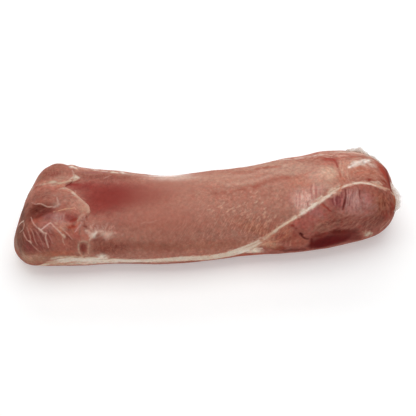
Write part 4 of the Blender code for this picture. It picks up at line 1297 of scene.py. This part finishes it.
class Finish:
    """One material, made of a principled shader and the nodes that feed it."""

    def __init__(self, name):
        self.material = bpy.data.materials.new(name)
        self.material.use_nodes = True
        self.tree = self.material.node_tree
        self.shader = self.tree.nodes["Principled BSDF"]

    def node(self, kind, settings, inputs, output=0):
        """Adds a node, sets it, fills its sockets with values or links, and gives one output."""
        made = self.tree.nodes.new(kind)
        for name, value in settings.items():
            setattr(made, name, value)
        for name, value in inputs.items():
            self.fill(made.inputs[name], value)
        return Tone(self, made.outputs[output])

    def fill(self, socket, value):
        if isinstance(value, Tone):
            self.tree.links.new(value.socket, socket)
        else:
            socket.default_value = value

    def feed(self, **values):
        """Sets the shader's sockets. A socket's name is written small, with lines for spaces."""
        for name, value in values.items():
            self.fill(self.shader.inputs[name.replace("_", " ").title().replace("Ior", "IOR")], value)

    def share(self, name):
        return self.node("ShaderNodeAttribute", {"attribute_name": name}, {}, "Fac")

    def colour(self, name):
        return self.node("ShaderNodeAttribute", {"attribute_name": name}, {}, "Color")

    def place(self, turn=(0.0, 0.0, 0.0), stretch=(1.0, 1.0, 1.0)):
        """Object coordinates in a turned frame, drawn out along its axes."""
        where = self.node("ShaderNodeTexCoord", {}, {}, "Object")
        inputs = {"Vector": where, "Rotation": turn, "Scale": stretch}
        return self.node("ShaderNodeMapping", {"vector_type": "TEXTURE"}, inputs)

    def grain(self, where, size, detail=2.0, roughness=0.5, bend=0.0):
        """Noise from 0 to 1 whose patches are about size across."""
        inputs = {"Vector": where, "Scale": 1 / size, "Detail": detail}
        inputs.update({"Roughness": roughness, "Distortion": bend})
        return self.node("ShaderNodeTexNoise", {}, inputs, "Fac")

    def step(self, value, low, high):
        """A smooth step from 0 where the value is low to 1 where it is high."""
        inputs = {"Value": value, "From Min": low, "From Max": high}
        return self.node("ShaderNodeMapRange", {"interpolation_type": "SMOOTHSTEP"}, inputs)

    def mixed(self, first, second, share):
        """A colour between two."""
        settings = {"data_type": "RGBA", "blend_type": "MIX", "clamp_factor": True}
        return self.node("ShaderNodeMix", settings, {0: share, 6: first, 7: second}, 2)

    def shaded(self, colour, amount):
        """A colour made lighter or darker."""
        inputs = {"Vector": colour, "Scale": amount}
        return self.node("ShaderNodeVectorMath", {"operation": "SCALE"}, inputs)

    def tinted(self, colour, factors):
        """A colour with each of its parts scaled."""
        return self.node("ShaderNodeVectorMath", {"operation": "MULTIPLY"}, {0: colour, 1: factors})

    def bumped(self, height, strength, distance):
        inputs = {"Height": height, "Strength": strength, "Distance": distance}
        return self.node("ShaderNodeBump", {}, inputs)


def opaque(colour):
    return (*linear(colour), 1.0)


def make_wet(finish):
    """Raw meat and fat: light goes in a little way, and the damp face shines softly."""
    finish.feed(subsurface_weight=0.12, subsurface_scale=0.003, subsurface_radius=(1.0, 0.4, 0.25))
    finish.feed(specular_ior_level=0.0, coat_weight=0.15, coat_roughness=0.35)


# Muscle fibres run up and away across the showing side
FIBRE_TURN = (0.0, math.radians(-38), math.radians(50))

# Colours that the grain adds
HAIR_COLOUR = (214, 164, 140)
FLECK_COLOUR = (222, 178, 156)
FILM_COLOURS = ((206, 178, 162), (232, 222, 212))


def make_meat_finish():
    """Lean meat: mottled, with fibres where the grain shows and pale flecks of fat."""
    finish = Finish("meat")
    here = finish.place()
    fine = finish.grain(here, 1.6 * MM, 3.0, 0.65)
    mid = finish.grain(here, 4.5 * MM, 3.0, 0.6)
    blotch = finish.grain(here, 3.0 * MM, 3.0, 0.55, 0.6)
    fibre = finish.grain(finish.place(FIBRE_TURN, (9.0, 1.0, 1.0)), 1.3 * MM, 2.0, 0.6)
    fleck = finish.grain(finish.place(FIBRE_TURN, (2.2, 1.0, 1.0)), 2.1 * MM, 2.0, 0.6, 1.2)
    texture = 1 - finish.share("calm")
    hairs = finish.share("hairs")
    grain = (mid - 0.5) * 0.7 + (fine - 0.5) * 0.35 + (fibre - 0.5) * (hairs * 0.8 + 0.15)
    flesh = finish.shaded(finish.colour("flesh"), 1 + grain * texture)
    redder = finish.tinted(flesh, (1.0, 0.93, 0.92))
    paler = finish.tinted(flesh, (1.0, 1.06, 1.06))
    blotched = finish.mixed(paler, redder, finish.step(blotch, 0.38, 0.62))
    flesh = finish.mixed(flesh, blotched, texture)
    haired = finish.step(fibre, 0.58, 0.72) * hairs * 0.3
    flesh = finish.mixed(flesh, opaque(HAIR_COLOUR), haired)
    flecked = finish.step(fleck, 0.64, 0.72) * finish.share("flecks") * 0.4
    flesh = finish.mixed(flesh, opaque(FLECK_COLOUR), flecked)
    bumps = fibre * 0.6 + fine * 0.6
    finish.feed(base_color=flesh, normal=finish.bumped(bumps, 0.35, 0.4 * MM))
    finish.feed(roughness=0.36 + mid * 0.2)
    make_wet(finish)
    return finish.material


def make_fat_finish():
    """Seam fat: waxy, with duller and redder parts."""
    finish = Finish("seam_fat")
    here = finish.place()
    fine = finish.grain(here, 1.8 * MM, 4.0, 0.65)
    mid = finish.grain(here, 6 * MM, 3.0, 0.6)
    fat = finish.shaded(finish.colour("flesh"), 1 + (fine - 0.5) * 0.6)
    fat = finish.mixed(fat, finish.tinted(fat, (0.96, 0.84, 0.80)), finish.step(mid, 0.5, 0.75))
    finish.feed(base_color=fat, normal=finish.bumped(fine, 0.4, 0.5 * MM), roughness=0.42)
    make_wet(finish)
    return finish.material


def make_film_finish():
    """Torn membrane, so thin that the light comes through it."""
    finish = Finish("torn_film")
    wisps = finish.grain(finish.place((0.0, math.radians(25), 0.0), (4.0, 1.0, 1.0)), 1.2 * MM, 3.0, 0.6)
    dull, bright = (opaque(colour) for colour in FILM_COLOURS)
    film = finish.mixed(dull, bright, finish.step(wisps, 0.4, 0.6))
    cover = finish.step(wisps, 0.18, 0.5) * finish.share("cover")
    finish.feed(base_color=film, alpha=cover, roughness=0.5)
    finish.feed(normal=finish.bumped(wisps, 0.4, 0.3 * MM))
    return finish.material


def make_camera():
    data = bpy.data.cameras.new("camera")
    data.lens = LENS_MM
    data.sensor_width = FILM_MM
    camera = bpy.data.objects.new("camera", data)
    camera.location = EYE_POINT
    camera.rotation_euler = (math.pi / 2 - VIEW_TILT, 0.0, 0.0)
    bpy.context.scene.collection.objects.link(camera)
    bpy.context.scene.camera = camera


def make_softbox(name, place, width, depth, watts):
    data = bpy.data.lights.new(name, "AREA")
    data.shape = "RECTANGLE"
    data.size = width
    data.size_y = depth
    data.energy = watts
    light = bpy.data.objects.new(name, data)
    light.location = place
    light.rotation_euler = (Vector(LIGHT_AIM) - Vector(place)).to_track_quat("-Z", "Y").to_euler()
    bpy.context.scene.collection.objects.link(light)


def make_floor():
    form = bmesh.new()
    bmesh.ops.create_grid(form, x_segments=1, y_segments=1, size=FLOOR_HALF_SIZE)
    mesh = bpy.data.meshes.new("floor")
    form.to_mesh(mesh)
    form.free()
    finish = Finish("pale_floor")
    finish.feed(base_color=FLOOR_COLOUR, roughness=0.8)
    finish.feed(emission_color=WHITE, emission_strength=FLOOR_GLOW)
    mesh.materials.append(finish.material)
    floor = bpy.data.objects.new("floor", mesh)
    floor.location.z = FLOOR_LEVEL
    bpy.context.scene.collection.objects.link(floor)


def make_studio():
    scene = bpy.context.scene
    scene.view_settings.view_transform = "Standard"
    world = bpy.data.worlds.new("studio")
    world.use_nodes = True
    background = world.node_tree.nodes["Background"]
    background.inputs["Color"].default_value = WHITE
    background.inputs["Strength"].default_value = WORLD_STRENGTH
    scene.world = world
    for name, box in SOFTBOXES.items():
        make_softbox(name, *box)
    make_floor()
    make_camera()


meat = make_meat_finish()
make_skin("eye_muscle", meat)
make_skin("rump_muscle", meat)
make_skin("blade_muscle", meat)
make_skin("fat_layer", make_fat_finish())
film = make_film_finish()
for name, (spots, width) in TATTERS.items():
    make_tatter(name, spots, width, film)
make_studio()
